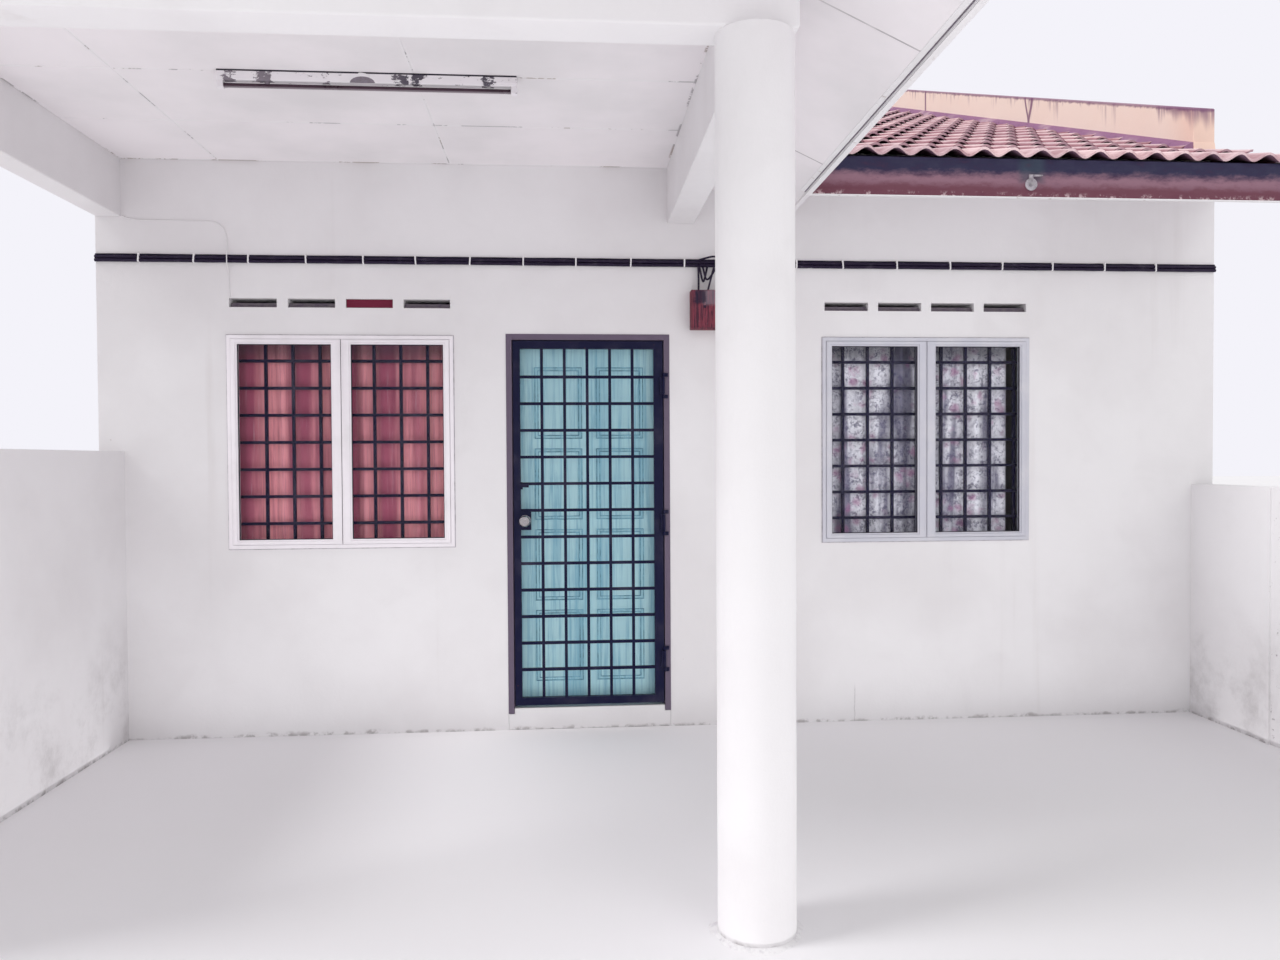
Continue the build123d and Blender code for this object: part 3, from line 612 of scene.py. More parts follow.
# Coats of one dusty noise: its scale and detail, where it fades in (and how far), the two
# paints, the roughness and the bumps
DUSTY_COATS = {
    "joint_shadow": ((22, 4), (0.3, 0.7), ("joint", "doorframe"), (0.85, 1.0), (0.001, 0.5)),
    "vent_slat": ((24, 5), (0.35, 0.7), ("joint", "doorframe"), (0.7, 0.95), (0.001, 0.5)),
    "foot_plaster": ((34, 6), (0.45, 0.75, 0, 0.6), ("wall", "seal"), (0.7, 0.95), (0.004, 0.7)),
    "trim_paint": ((18, 5), (0.6, 0.72, 0, 0.5), ("wall", "stain"), (0.5, 0.75), (0.001, 0.4)),
    "pale_seal": ((20, 5), (0.4, 0.75), ("seal", "joint"), (0.7, 0.95), (0.0006, 0.4)),
    # The beads round the door panels, darkened as painted shade along their edges
    "door_line": ((14, 5), (0.35, 0.7), ("door_grain", "door_shade"), (0.5, 0.8), (0.0005, 0.4)),
    "bare_enamel": ((60, 5), (0.35, 0.7), ("primer", "joint"), (0.6, 0.85), (0.0005, 0.4)),
}


def dusty_coat(made, grain, fading, paints, roughness, bumps):
    dust = made.noise(*grain, 0.7)
    made.start(made.fade(dust, *fading), *paints)
    made.dent(dust, *bumps)
    made.skin(made.fade(dust, 0, 1, *roughness))


def aluminium(made, own):
    """Drawn aluminium, dusty, with grey marks."""
    drawn = made.noise(30, 3, where=made.stretched(1, 1, 0.08))
    made.start(made.fade(made.noise(6, 5, 0.6), 0.4, 0.8, 0, 0.45), own, "wall_shade")
    made.lay("primer", made.fade(made.noise(26, 6, 0.75), 0.66, 0.8, 0, 0.5))
    made.dent(drawn, 0.0004, 0.25)
    made.skin(made.fade(drawn, 0, 1, 0.32, 0.5), Metallic=0.1)


@coating
def white_aluminium(made):
    aluminium(made, "window_left")


@coating
def silver_aluminium(made):
    aluminium(made, "window_right")


@coating
def window_glass(made):
    """Clear pane with a little dust; lamps shine through it."""
    sockets = {
        "Base Color": (0.97, 0.98, 0.99),
        "Roughness": made.fade(made.noise(9, 4), 0.3, 0.9, 0.0, 0.02),
        "IOR": 1.15,
        "Transmission Weight": 1.0,
    }
    pane = made.add("BsdfPrincipled", sockets).outputs["BSDF"]
    clear = made.add("BsdfTransparent", {"Color": (0.97, 0.98, 0.99)}).outputs["BSDF"]
    ray = made.add("LightPath").outputs["Is Shadow Ray"]
    mix = made.add("MixShader", {0: ray, 1: pane, 2: clear}).outputs["Shader"]
    made.add("OutputMaterial", {"Surface": mix})


def dark_steel(made, own, roughness):
    """Brushed-on gloss paint over steel, dusty and chipped to rust here and there."""
    brush = made.noise(34, 4, where=made.stretched(1, 1, 0.35))
    made.start(made.fade(made.noise(5, 5, 0.6), 0.45, 0.8, 0, 0.12), own, "primer")
    made.lay("rust", made.fade(made.noise(42, 5, 0.7), 0.70, 0.74), 0.8)
    made.dent(brush, 0.0008, 0.5)
    gloss = made.fade(brush, 0.2, 0.8, roughness - 0.1, roughness + 0.15)
    made.skin(gloss, Specular_IOR_Level=0.2)


@coating
def bar_steel(made):
    dark_steel(made, "bar", 0.45)


@coating
def leaf_steel(made):
    dark_steel(made, "leaf", 0.38)


@coating
def frame_steel(made):
    dark_steel(made, "doorframe", 0.42)


@coating
def rubber(made):
    fine = made.noise(90, 3)
    made.start(fine, "rubber", "rubber_dusty")
    made.skin(made.fade(fine, 0, 1, 0.6, 0.8), Specular_IOR_Level=0.2)


def curtain_shade(made, much):
    """Shade on the top of a curtain, under the head of its window."""
    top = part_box("window_curtains")[1].z
    made.lay("bar", made.fade(made.axis("Z"), top - 0.16, top - 0.06, 0, much))


@coating
def red_cloth(made):
    """Brick red weave, striped darker down the cloth and in shade at its top."""
    bands = made.noise(6, 3, where=made.stretched(1, 1, 0.06))
    threads = made.noise(60, 4, 0.7, where=made.stretched(1, 1, 0.04))
    made.start(made.fade(bands, 0.40, 0.60), "curtain_red", "curtain_red_deep")
    made.lay("curtain_red_deep", made.fade(threads, 0.45, 0.7, 0, 0.5))
    made.lay("curtain_pale", made.fade(threads, 0.25, 0.42, 0.25, 0))
    curtain_shade(made, 0.65)
    waves = []
    for way in "XZ":
        sockets = {"Vector": made.where, "Scale": 260.0, "Distortion": 0.4}
        waves.append(made.add("TexWave", sockets, bands_direction=way).outputs["Fac"])
    weave = made.both(*waves)
    made.lay("curtain_pale", weave, 0.15)
    made.dent(weave, 0.0006, 0.5)
    made.skin(made.fade(bands, 0, 1, 0.8, 0.95), Sheen_Weight=0.2)


@coating
def flowered_cloth(made):
    """Pale weave, thick with grey sprays of leaves and small scattered blossoms, with painted shade
    down its folds.
    """
    wander = made.add("TexNoise", {"Vector": made.where, "Scale": 18.0, "Detail": 3.0})
    bent = made.blend(0.06, made.where, wander.outputs["Color"])
    # Dark upright bands: painted shade in the folds
    folds = made.noise(7, 4, where=made.stretched(1, 1, 0.12), bend=0.4)
    made.start(made.fade(folds, 0.46, 0.62, 0, 0.8), "curtain_pale", "leafage")
    stipple = made.fade(made.noise(42, 6, 0.8, where=bent), 0.47, 0.56)
    sprays = made.fade(made.noise(9, 5, 0.7, bend=1.4), 0.42, 0.56, 0.3, 1.0)
    made.lay("leafage", made.both(stipple, sprays), 0.8)
    petals = made.fade(made.cells(15, where=bent), 0.12, 0.55, 1, 0)
    clusters = made.fade(made.noise(4.6, 4, 0.6), 0.46, 0.58)
    made.lay("blossom", made.both(petals, clusters), 0.6)
    curtain_shade(made, 0.6)
    made.dent(made.noise(260, 2), 0.0004, 0.4)
    made.skin(made.fade(folds, 0, 1, 0.75, 0.95), Sheen_Weight=0.15)


@coating
def door_skin(made):
    """Moulded skin with an upright grain pressed into it."""
    grain = made.noise(46, 6, 0.7, where=made.stretched(1, 1, 0.03), bend=0.6)
    broad = made.noise(6, 4, where=made.stretched(1, 1, 0.12))
    made.start(made.fade(grain, 0.42, 0.66, 0, 0.9), "door", "door_grain")
    made.lay("door_grain", made.fade(broad, 0.4, 0.75, 0, 0.4))
    made.dent(grain, 0.0012, 0.6)
    made.skin(made.fade(grain, 0.2, 0.8, 0.36, 0.55))


@coating
def bright_steel(made):
    marks = made.noise(60, 5, 0.7)
    made.start(made.fade(marks, 0.62, 0.75, 0, 0.7), "steel", "rust")
    made.skin(made.fade(marks, 0.2, 0.8, 0.12, 0.35), Metallic=0.95)


@coating
def dull_zinc(made):
    dirt = made.noise(8, 6, 0.7)
    made.start(made.fade(made.cells(40), 0, 0.7, 0, 0.5), "steel", "primer")
    made.lay("rust", made.fade(dirt, 0.48, 0.66, 0, 0.8))
    made.dent(dirt, 0.001, 0.4)
    made.skin(made.fade(dirt, 0.2, 0.8, 0.4, 0.7), Metallic=0.5)


@coating
def box_wood(made):
    """Old red stain over upright grain, with a bare grey patch beside a burnt one, and a small dark
    spot painted as the shade in a hole.
    """
    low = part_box("meter_box")[0]
    grain = made.noise(75, 6, 0.7, where=made.stretched(1, 1, 0.07), bend=0.8)
    patches = made.noise(30, 6, 0.75)
    made.start(made.fade(grain, 0.42, 0.60), "box_wood", "box_shade")
    for x, z, wide, tall, tint, much in (
        (0.104, 0.168, 0.075, 0.062, "primer", 0.5),
        (0.046, 0.172, 0.048, 0.058, "bar", 0.85),
        # Painted shade: the small dark spot stands for a hole
        (0.072, 0.118, 0.011, 0.011, "bar", 0.9),
    ):
        spot = made.both(
            made.near(made.axis("X"), low.x + x, wide), made.near(made.axis("Z"), low.z + z, tall)
        )
        spot = made.sum("ADD", made.both(spot, 0.8), made.both(patches, 1.4))
        made.lay(tint, made.fade(spot, 0.9, 1.45), much)
    made.lay("primer", made.fade(patches, 0.58, 0.75, 0, 0.3))
    made.dent(grain, 0.0015, 0.8)
    made.skin(made.fade(patches, 0.2, 0.8, 0.6, 0.9))


@coating
def cable_sheath(made):
    """Dark sheath, dusty, with drops of wall paint."""
    dust = made.noise(11, 5, 0.7)
    made.start(made.fade(dust, 0.5, 0.8, 0, 0.25), "sheath", "primer")
    made.lay("wall", made.fade(made.noise(30, 4, where=made.stretched(0.5, 1, 1)), 0.70, 0.76), 0.8)
    made.dent(dust, 0.0006, 0.3)
    made.skin(made.fade(dust, 0.2, 0.8, 0.35, 0.6), Specular_IOR_Level=0.25)


@coating
def peeled_enamel(made):
    """White enamel that has flaked off in patches."""
    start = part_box("porch_lamp")[0].x
    spots = 0.0
    for x, wide in (
        (0.055, 0.04), (0.195, 0.040), (0.440, 0.025), (0.745, 0.045), (0.812, 0.035),
        (1.108, 0.038),
    ):  # fmt: skip
        spots = made.sum("MAXIMUM", spots, made.near(made.axis("X"), start + x, wide))
    flakes = made.noise(24, 6, 0.75, where=made.stretched(0.5, 1, 1.4))
    bare = made.fade(made.sum("ADD", flakes, made.both(spots, 0.13)), 0.60, 0.63)
    made.start(made.noise(70, 4), "primer", "joint")
    made.lay("bar", made.near(made.axis("X"), start + 0.93, 0.32), 0.65)
    made.shade = made.blend(bare, "enamel", made.shade)
    made.dent(made.sum("SUBTRACT", 1.0, bare), 0.0008, 0.9)
    made.skin(made.fade(bare, 0, 1, 0.35, 0.8))


@coating
def old_tube(made):
    """Dark tube with lighter patches, and a painted highlight along its underside."""
    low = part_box("lamp_tube")[0]
    soot = made.noise(7, 5, 0.7)
    made.start(made.fade(soot, 0.3, 0.7), "tube", "tube_soot")
    # Painted light: the underside of the tube paler
    made.lay("tube_underside_light", made.fade(made.axis("Z"), low.z + 0.001, low.z + 0.007, 0.5, 0))
    made.skin(made.fade(soot, 0, 1, 0.2, 0.4), Specular_IOR_Level=0.3)


@coating
def screed(made):
    """Cement screed, cloudy and gritty."""
    cloudy = made.noise(1.6, 6, 0.65)
    fine = made.noise(45, 5, 0.7)
    made.start(made.fade(cloudy, 0.3, 0.7), "screed", "screed_dark")
    made.lay("screed_grit", made.fade(fine, 0.5, 0.8, 0, 0.4))
    made.dent(fine, 0.0012, 0.4)
    made.skin(made.fade(cloudy, 0, 1, 0.45, 0.75))


@coating
def dark_board(made):
    grain = made.noise(30, 5, where=made.stretched(0.1, 1, 1))
    made.start(grain, "vent_board", "vent_board_dark")
    made.dent(grain, 0.001, 0.4)
    made.skin(made.fade(grain, 0, 1, 0.6, 0.9))


# Shapes
def points_of(geom):
    return [item for item in geom if isinstance(item, bmesh.types.BMVert)]


def edges_of(geom):
    return [item for item in geom if isinstance(item, bmesh.types.BMEdge)]


def edges_at(points):
    """The edges that end at the points, each once."""
    return list(dict.fromkeys(edge for point in points for edge in point.link_edges))


def add_box(bm, low, high):
    """Box between two corners; returns its corner points."""
    low, high = Vector(low), Vector(high)
    place = Matrix.Translation((low + high) / 2) @ Matrix.Diagonal((*(high - low), 1.0))
    return bmesh.ops.create_cube(bm, size=1.0, matrix=place)["verts"]


def add_rod(bm, start, end, radius, sides=16, end_radius=None):
    """Round bar between two points."""
    start, end = Vector(start), Vector(end)
    run = end - start
    turned = Vector((0, 0, 1)).rotation_difference(run).to_matrix().to_4x4()
    return bmesh.ops.create_cone(
        bm,
        cap_ends=True,
        segments=sides,
        radius1=radius,
        radius2=radius if end_radius is None else end_radius,
        depth=run.length,
        matrix=Matrix.Translation((start + end) / 2) @ turned,
    )["verts"]


def add_path(bm, places, closed=False):
    """Straight edges through the places; returns the points and the edges."""
    points = [bm.verts.new(place) for place in places]
    ends = points[1:] + points[:1] if closed else points[1:]
    return points, [bm.edges.new(pair) for pair in zip(points, ends)]


def draw_out(bm, edges, way):
    """Draws edges out to faces; returns the new points and edges."""
    out = bmesh.ops.extrude_edge_only(bm, edges=edges)["geom"]
    points = points_of(out)
    bmesh.ops.translate(bm, verts=points, vec=way)
    return points, edges_of(out)


def add_ring(bm, outer, inner, front, back):
    """Frame between two upright rectangles, each x0, x1, z0, z1, from front to back."""
    loops = []
    for x0, x1, z0, z1 in (outer, inner):
        places = ((x0, front, z0), (x1, front, z0), (x1, front, z1), (x0, front, z1))
        loops += add_path(bm, places, closed=True)[1]
    faces = bmesh.ops.bridge_loops(bm, edges=loops)["faces"]
    out = bmesh.ops.extrude_face_region(bm, geom=faces)["geom"]
    bmesh.ops.translate(bm, verts=points_of(out), vec=(0, back - front, 0))


def grown(sides, by):
    """A rectangle grown on all sides."""
    x0, x1, z0, z1 = sides
    return x0 - by, x1 + by, z0 - by, z1 + by


def ease(bm, width, steps=2, where=None):
    """Rounds the sharp edges by the width."""
    edges = [
        edge
        for edge in bm.edges
        if edge.is_manifold
        and edge.calc_face_angle(0) > radians(30)
        and (where is None or where(edge))
    ]
    bmesh.ops.bevel(
        bm,
        geom=edges,
        offset=width,
        offset_type="OFFSET",
        affect="EDGES",
        segments=steps,
        profile=0.5,
        material=-1,
        clamp_overlap=True,
        loop_slide=True,
    )


def turned_about(bm, geom):
    """Turns shapes from the front about the middle of the house, to its rear."""
    half_turn = Matrix.Rotation(pi, 3, "Z")
    bmesh.ops.rotate(bm, verts=points_of(geom), cent=(0, MIDDLE, 0), matrix=half_turn)


def both_elevations(bm):
    """Repeats the front's shapes at the rear."""
    copy = bmesh.ops.duplicate(bm, geom=bm.verts[:] + bm.edges[:] + bm.faces[:])
    turned_about(bm, copy["geom"])


def close_holes(bm, edges):
    """Fills what lies open along the edges."""
    bmesh.ops.holes_fill(bm, edges=[edge for edge in edges if edge.is_boundary], sides=0)


def cut_off(bm, point, outward):
    """Takes away what lies beyond a plane and closes the cut."""
    geom = bm.verts[:] + bm.edges[:] + bm.faces[:]
    cut = bmesh.ops.bisect_plane(
        bm, geom=geom, plane_co=point, plane_no=outward, clear_outer=True, dist=1e-5
    )
    close_holes(bm, edges_of(cut["geom_cut"]))


def as_mesh(name, bm):
    """A mesh of the shape, which is freed."""
    mesh = bpy.data.meshes.new(name)
    bm.to_mesh(mesh)
    bm.free()
    return mesh


def pour(bm, other):
    """Adds all of another shape, which is freed."""
    mesh = as_mesh("poured", other)
    bm.from_mesh(mesh)
    bpy.data.meshes.remove(mesh)


def stand(name, data):
    """An object of the data, in the scene."""
    holder = bpy.data.objects.new(name, data)
    bpy.context.scene.collection.objects.link(holder)
    return holder


def place_piece(name, bm, coat, body="house", replaces=(), smooth=None, outward=True):
    """Makes an object of the shape, coats it and lets it ride on its body."""
    if outward:
        bmesh.ops.recalc_face_normals(bm, faces=bm.faces)
    mesh = as_mesh(name, bm)
    if smooth:
        mesh.polygons.foreach_set("use_smooth", [True] * len(mesh.polygons))
        mesh.set_sharp_from_angle(angle=radians(smooth))
    piece = stand(name, mesh)
    mesh.materials.append(finish(coat))
    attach(piece, body)
    if replaces:
        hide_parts(*replaces)
    return piece


def coat_nodes(coat, *names):
    """Gives CAD parts that stay their finish."""
    for name in names:
        node = frame["nodes"][name]
        if node.material_slots:
            node.material_slots[0].material = finish(coat)
        else:
            node.data.materials.append(finish(coat))


def merged_copy(node):
    """The faces of a CAD part, with its loose triangles joined."""
    bm = bmesh.new()
    bm.from_mesh(frame["nodes"][node].data)
    bmesh.ops.remove_doubles(bm, verts=bm.verts, dist=1e-5)
    bmesh.ops.dissolve_limit(bm, angle_limit=radians(1), verts=bm.verts, edges=bm.edges)
    return bm


def eased_copy(node, width, coat, body="house", steps=2, where=None, name=None):
    """Stands for a CAD part with its sharp edges rounded."""
    bm = merged_copy(node)
    ease(bm, width, steps, where)
    place_piece(name or node + "_eased", bm, coat, body, [node])


def add_line(bm, points, radius):
    """Smooth round line through the points, joined to the shape."""
    curve = bpy.data.curves.new("line", "CURVE")
    curve.dimensions = "3D"
    curve.bevel_depth = radius
    curve.bevel_resolution = 2
    curve.use_fill_caps = True
    spline = curve.splines.new("NURBS")
    spline.points.add(len(points) - 1)
    for point, place in zip(spline.points, points):
        point.co = (*place, 1.0)
    spline.order_u = 3
    spline.use_endpoint_u = True
    spline.resolution_u = 4
    holder = stand("line", curve)
    bpy.context.view_layer.update()
    drawn = holder.evaluated_get(bpy.context.evaluated_depsgraph_get())
    mesh = bpy.data.meshes.new_from_object(drawn)
    bm.from_mesh(mesh)
    bpy.data.objects.remove(holder)
    bpy.data.curves.remove(curve)
    bpy.data.meshes.remove(mesh)


# Stage
def add_lamp(name, kind, direction, strength, place=(0, 0, 0)):
    """Lamp that shines along a direction; no camera sees it."""
    lamp = bpy.data.lights.new(name, kind)
    lamp.energy = strength
    holder = stand(name, lamp)
    holder.location = place
    holder.rotation_euler = Vector(direction).to_track_quat("-Z", "Y").to_euler()
    holder.visible_camera = False
    return holder


class HOUSE_OT_stage(bpy.types.Operator):
    """Camera, soft lamps, pale backdrop and plain ground"""

    bl_idname = "house.stage"
    bl_label = "Stage"

    def execute(self, context):
        view = context.scene.house_view
        camera = bpy.data.cameras.new("camera")
        camera.lens = view.lens
        camera.sensor_width = 36
        camera.clip_end = 200
        holder = stand("camera", camera)
        aim = Matrix.Rotation(-view.heading, 4, "Z") @ Matrix.Rotation(pi / 2 - view.tilt, 4, "X")
        holder.matrix_world = (
            Matrix.Translation(view.place) @ aim @ Matrix.Rotation(view.lean, 4, "Z")
        )
        context.scene.camera = holder
        context.scene.view_settings.view_transform = "Standard"
        self.light(view)
        self.hang_backdrop(context, view)
        self.lay_ground(view)
        return {"FINISHED"}

    def light(self, view):
        for name, direction, strength, spread in (
            ("key", (-0.45, 0.75, -0.50), view.key_light, 40),
            ("fill", (-0.15, 1.0, -0.12), view.fill_light, 50),
            ("side", (0.66, 0.10, -0.68), view.side_light, 20),
        ):
            lamp = add_lamp(name, "SUN", direction, strength)
            lamp.data.angle = radians(spread)
            lamp.visible_glossy = name == "key"
        bounce = add_lamp("bounce", "AREA", (0, 0, 1), view.bounce_light, (0, -6.7, 0.02))
        bounce.data.shape = "RECTANGLE"
        bounce.data.size, bounce.data.size_y = 8, 4.4
        bounce.visible_glossy = False

    def hang_backdrop(self, context, view):
        """Sky that lights the house in white, seen in its own colour."""
        world = bpy.data.worlds.new("backdrop")
        context.scene.world = world
        made = Nodes(world)
        light = made.add("Background", {"Strength": view.sky_light}).outputs[0]
        seen = made.add("Background", {"Color": view.sky}).outputs[0]
        rays = made.add("LightPath").outputs
        straight = rays["Is Camera Ray"]
        for ray in ("Is Glossy Ray", "Is Transmission Ray"):
            straight = made.sum("MAXIMUM", straight, rays[ray])
        mix = made.add("MixShader", {0: straight, 1: light, 2: seen}).outputs[0]
        made.add("OutputWorld", {"Surface": mix})

    def lay_ground(self, view):
        bm = bmesh.new()
        bmesh.ops.create_grid(bm, x_segments=8, y_segments=8, size=60)
        ground = stand("ground", as_mesh("ground", bm))
        made = Finish("ground")
        made.start(made.fade(made.noise(0.5, 4), 0.3, 0.7, 0, 0.12), view.ground, view.sky)
        made.skin(0.85)
        ground.data.materials.append(made.material)


class HOUSE_OT_walls(bpy.types.Operator):
    """White paint on the walls and beams, with their free edges worn round"""

    bl_idname = "house.walls"
    bl_label = "Walls and beams"

    def execute(self, context):
        coat_nodes(
            "wall_paint",
            "front_wall_left",
            "front_wall_right",
            "front_wall_upper",
            "rear_wall",
            "left_party_wall",
            "right_party_wall",
            "porch_gable_wall",
            "porch_party_wall",
        )
        for node in ("left_low_wall", "right_low_wall"):
            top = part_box(node)[1].z - 0.01
            eased_copy(
                node, 0.008, "boundary_paint",
                where=lambda edge: min(v.co.z for v in edge.verts) > top
                or max(v.co.y for v in edge.verts) < FRONT - 2,
            )
        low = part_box("front_beam")[0].z + 0.01
        for node in ("front_beam", "side_beams"):
            eased_copy(
                node, 0.006, "wall_paint",
                where=lambda edge: max(v.co.z for v in edge.verts) < low,
            )
        coat_nodes("screed", "floor_slab")
        coat_nodes("ceiling_paint", "room_ceiling")
        eased_copy("door_sill", 0.005, "wall_paint")
        return {"FINISHED"}


class HOUSE_OT_columns(bpy.types.Operator):
    """Round plastered columns, a little uneven by hand, each in a smear of mortar"""

    bl_idname = "house.columns"
    bl_label = "Columns"

    def execute(self, context):
        low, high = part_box("porch_columns")
        radius = (high.y - low.y) / 2
        rng = random.Random(11)
        columns, feet = bmesh.new(), bmesh.new()
        for x in (low.x + radius, high.x - radius):
            centre = Vector((x, low.y + radius, 0))
            self.raise_column(columns, centre, radius, high.z, rng)
            self.smear_foot(feet, centre, radius, rng)
        close_holes(columns, columns.edges)
        place_piece(
            "columns", columns, "wall_paint",
            replaces=["porch_columns"], smooth=50,
        )
        cut_off(feet, (-OUTER, 0, 0), (-1, 0, 0))
        place_piece("column_feet", feet, "foot_plaster", smooth=30)
        return {"FINISHED"}

    def raise_column(self, bm, centre, radius, top, rng):
        levels = [0.0, 0.008, 0.05] + [0.2 * i for i in range(1, 14)] + [top]
        place = Matrix.Translation(centre)
        ring = bmesh.ops.create_circle(bm, segments=48, radius=radius, matrix=place)["verts"]
        edges = edges_at(ring)
        for below, above in zip(levels, levels[1:]):
            ring, edges = draw_out(bm, edges, (0, 0, above - below))
            drift = rng.uniform(0, 0.0012) if above < top else 0
            for vert in ring:
                out = (vert.co - centre).xy.normalized() * (radius - drift)
                wobble = rng.uniform(0, 0.0006) if above < top else 0
                vert.co.xy = centre.xy + out * (1 - wobble / radius)

    def smear_foot(self, bm, centre, radius, rng):
        smear = bmesh.ops.create_cone(
            bm,
            cap_ends=True,
            segments=56,
            radius1=radius + 0.020,
            radius2=radius + 0.001,
            depth=0.008,
            matrix=Matrix.Translation(centre + Vector((0, 0, 0.004))),
        )["verts"]
        for vert in smear:
            if vert.co.z < 0.001:
                out = (vert.co - centre).xy
                angle = out.angle_signed(Vector((1, 0)), 0)
                reach = 1 + 0.05 * sin(3 * angle + centre.x) + 0.04 * sin(7 * angle)
                reach += rng.uniform(-0.02, 0.02)
                vert.co.xy = centre.xy + out * reach


class HOUSE_OT_ceiling(bpy.types.Operator):
    """Ceiling boards laid side by side, with a small chamfer at each joint"""

    bl_idname = "house.ceiling"
    bl_label = "Porch ceiling"

    def execute(self, context):
        sizes = context.scene.house_ceiling
        low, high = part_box("porch_ceiling")

        def lines(start, end, place, pitch):
            """Joints between start and end, of which one would lie at the place."""
            first = place + pitch * round((start - place) / pitch - 0.5)
            found = [first + pitch * i for i in range(12)]
            return [start] + [x for x in found if start + 0.02 < x < end - 0.02] + [end]

        xs = lines(low.x, high.x, sizes.joint_x, sizes.board_x)
        ys = lines(low.y, high.y, FRONT + sizes.joint_y, sizes.board_y)
        gap = 0.0006
        bm = bmesh.new()
        for x0, x1 in zip(xs, xs[1:]):
            for y0, y1 in zip(ys, ys[1:]):
                add_box(bm, (x0 + gap, y0 + gap, low.z), (x1 - gap, y1 - gap, high.z))
        ease(bm, 0.0016, 1)
        add_box(bm, (low.x, low.y, low.z + 0.0018), (high.x, high.y, high.z - 0.0005))
        place_piece(
            "ceiling_boards", bm, "ceiling_paint", replaces=["porch_ceiling"]
        )
        return {"FINISHED"}


def tile_shape(roof):
    """One tile of two rolls, lying flat with its tail along X at the origin.

    It carries how high each point lies on its roll, and how lit each face is painted: unlit below,
    as painted shade, and half lit at the tail, as painted shade and dirt.
    """
    bm = bmesh.new()
    crest = bm.verts.layers.float.new("crest")
    tone = bm.faces.layers.float.new("tone")
    wide = 2 * roof.roll + 0.004
    long = roof.gauge + roof.lap
    place = Matrix.Translation((wide / 2, long / 2, 0)) @ Matrix.Diagonal((wide, long, 1, 1))
    bmesh.ops.create_grid(bm, x_segments=20, y_segments=1, size=0.5, matrix=place)
    for vert in bm.verts:
        across = vert.co.x / roof.roll % 1
        vert[crest] = 1 - 2 * abs(across - 0.5)
        ahead = vert.co.y / long
        roll = (roof.rise - roof.taper * ahead) * sin(pi * across) ** 2
        vert.co.z = roll - roof.rise - roof.fall * ahead
    bmesh.ops.solidify(bm, geom=bm.faces[:], thickness=roof.thickness)
    bmesh.ops.translate(bm, verts=bm.verts, vec=(0, 0, roof.build - 0.0015))
    bmesh.ops.recalc_face_normals(bm, faces=bm.faces)
    # Painted shade: faces below go dark, faces at the tail half dark
    for face in bm.faces:
        face[tone] = 0.0 if face.normal.z < -0.3 else 0.5 if face.normal.y < -0.7 else 1.0
    return as_mesh("tile", bm)


def lay_tiles(bm, roof, tile, slope, wide, courses, rng):
    """Lays courses of tiles; slope is the place of the first corner of the eave."""
    tone = bm.faces.layers.float.get("tone") or bm.faces.layers.float.new("tone")
    crest = bm.verts.layers.float.get("crest") or bm.verts.layers.float.new("crest")
    pitch = 2 * roof.roll
    for course in courses:
        for column in range(int(wide / pitch + 0.999)):
            first_vert, first_face = len(bm.verts), len(bm.faces)
            bm.from_mesh(tile)
            bm.verts.ensure_lookup_table()
            bm.faces.ensure_lookup_table()
            fresh = bm.verts[first_vert:]
            if course == 0:
                for vert in fresh:
                    vert.co.z += roof.tilt * (1 - vert.co.y / (roof.gauge + roof.lap))
                    # Painted highlight: the tail edge of the first course is paler
                    if vert.co.y < 0.001:
                        vert[crest] = max(vert[crest], 0.7)
            slip = rng.uniform(0, 0.004)
            spin = Matrix.Rotation(rng.uniform(-0.003, 0.003), 4, "Z")
            place = Vector((column * pitch, course * roof.gauge + slip, -rng.uniform(0, 0.0015)))
            laid = slope @ Matrix.Translation(place) @ spin
            bmesh.ops.transform(bm, matrix=laid, verts=fresh)
            shade = rng.uniform(0.66, 1)
            for face in bm.faces[first_face:]:
                # The first course's tails lose their painted shade, as painted light along the
                # eave; undersides keep theirs
                if course == 0 and face[tone] > 0:
                    face[tone] = 1
                face[tone] *= shade


def slope_place(corner, along, up, forward):
    """Matrix from flat tile coordinates to a slope, that much up from its lowest edge."""
    along, up = Vector(along).normalized(), Vector(up).normalized()
    corner = Vector(corner) + up * forward
    turned = Matrix((along, up, along.cross(up))).transposed().to_4x4()
    return Matrix.Translation(corner) @ turned


def valley_cut(bm, outward, back_off):
    """Cuts tiles along the valley, that far back from its line."""
    cut_off(bm, VALLEY - outward * back_off, outward)


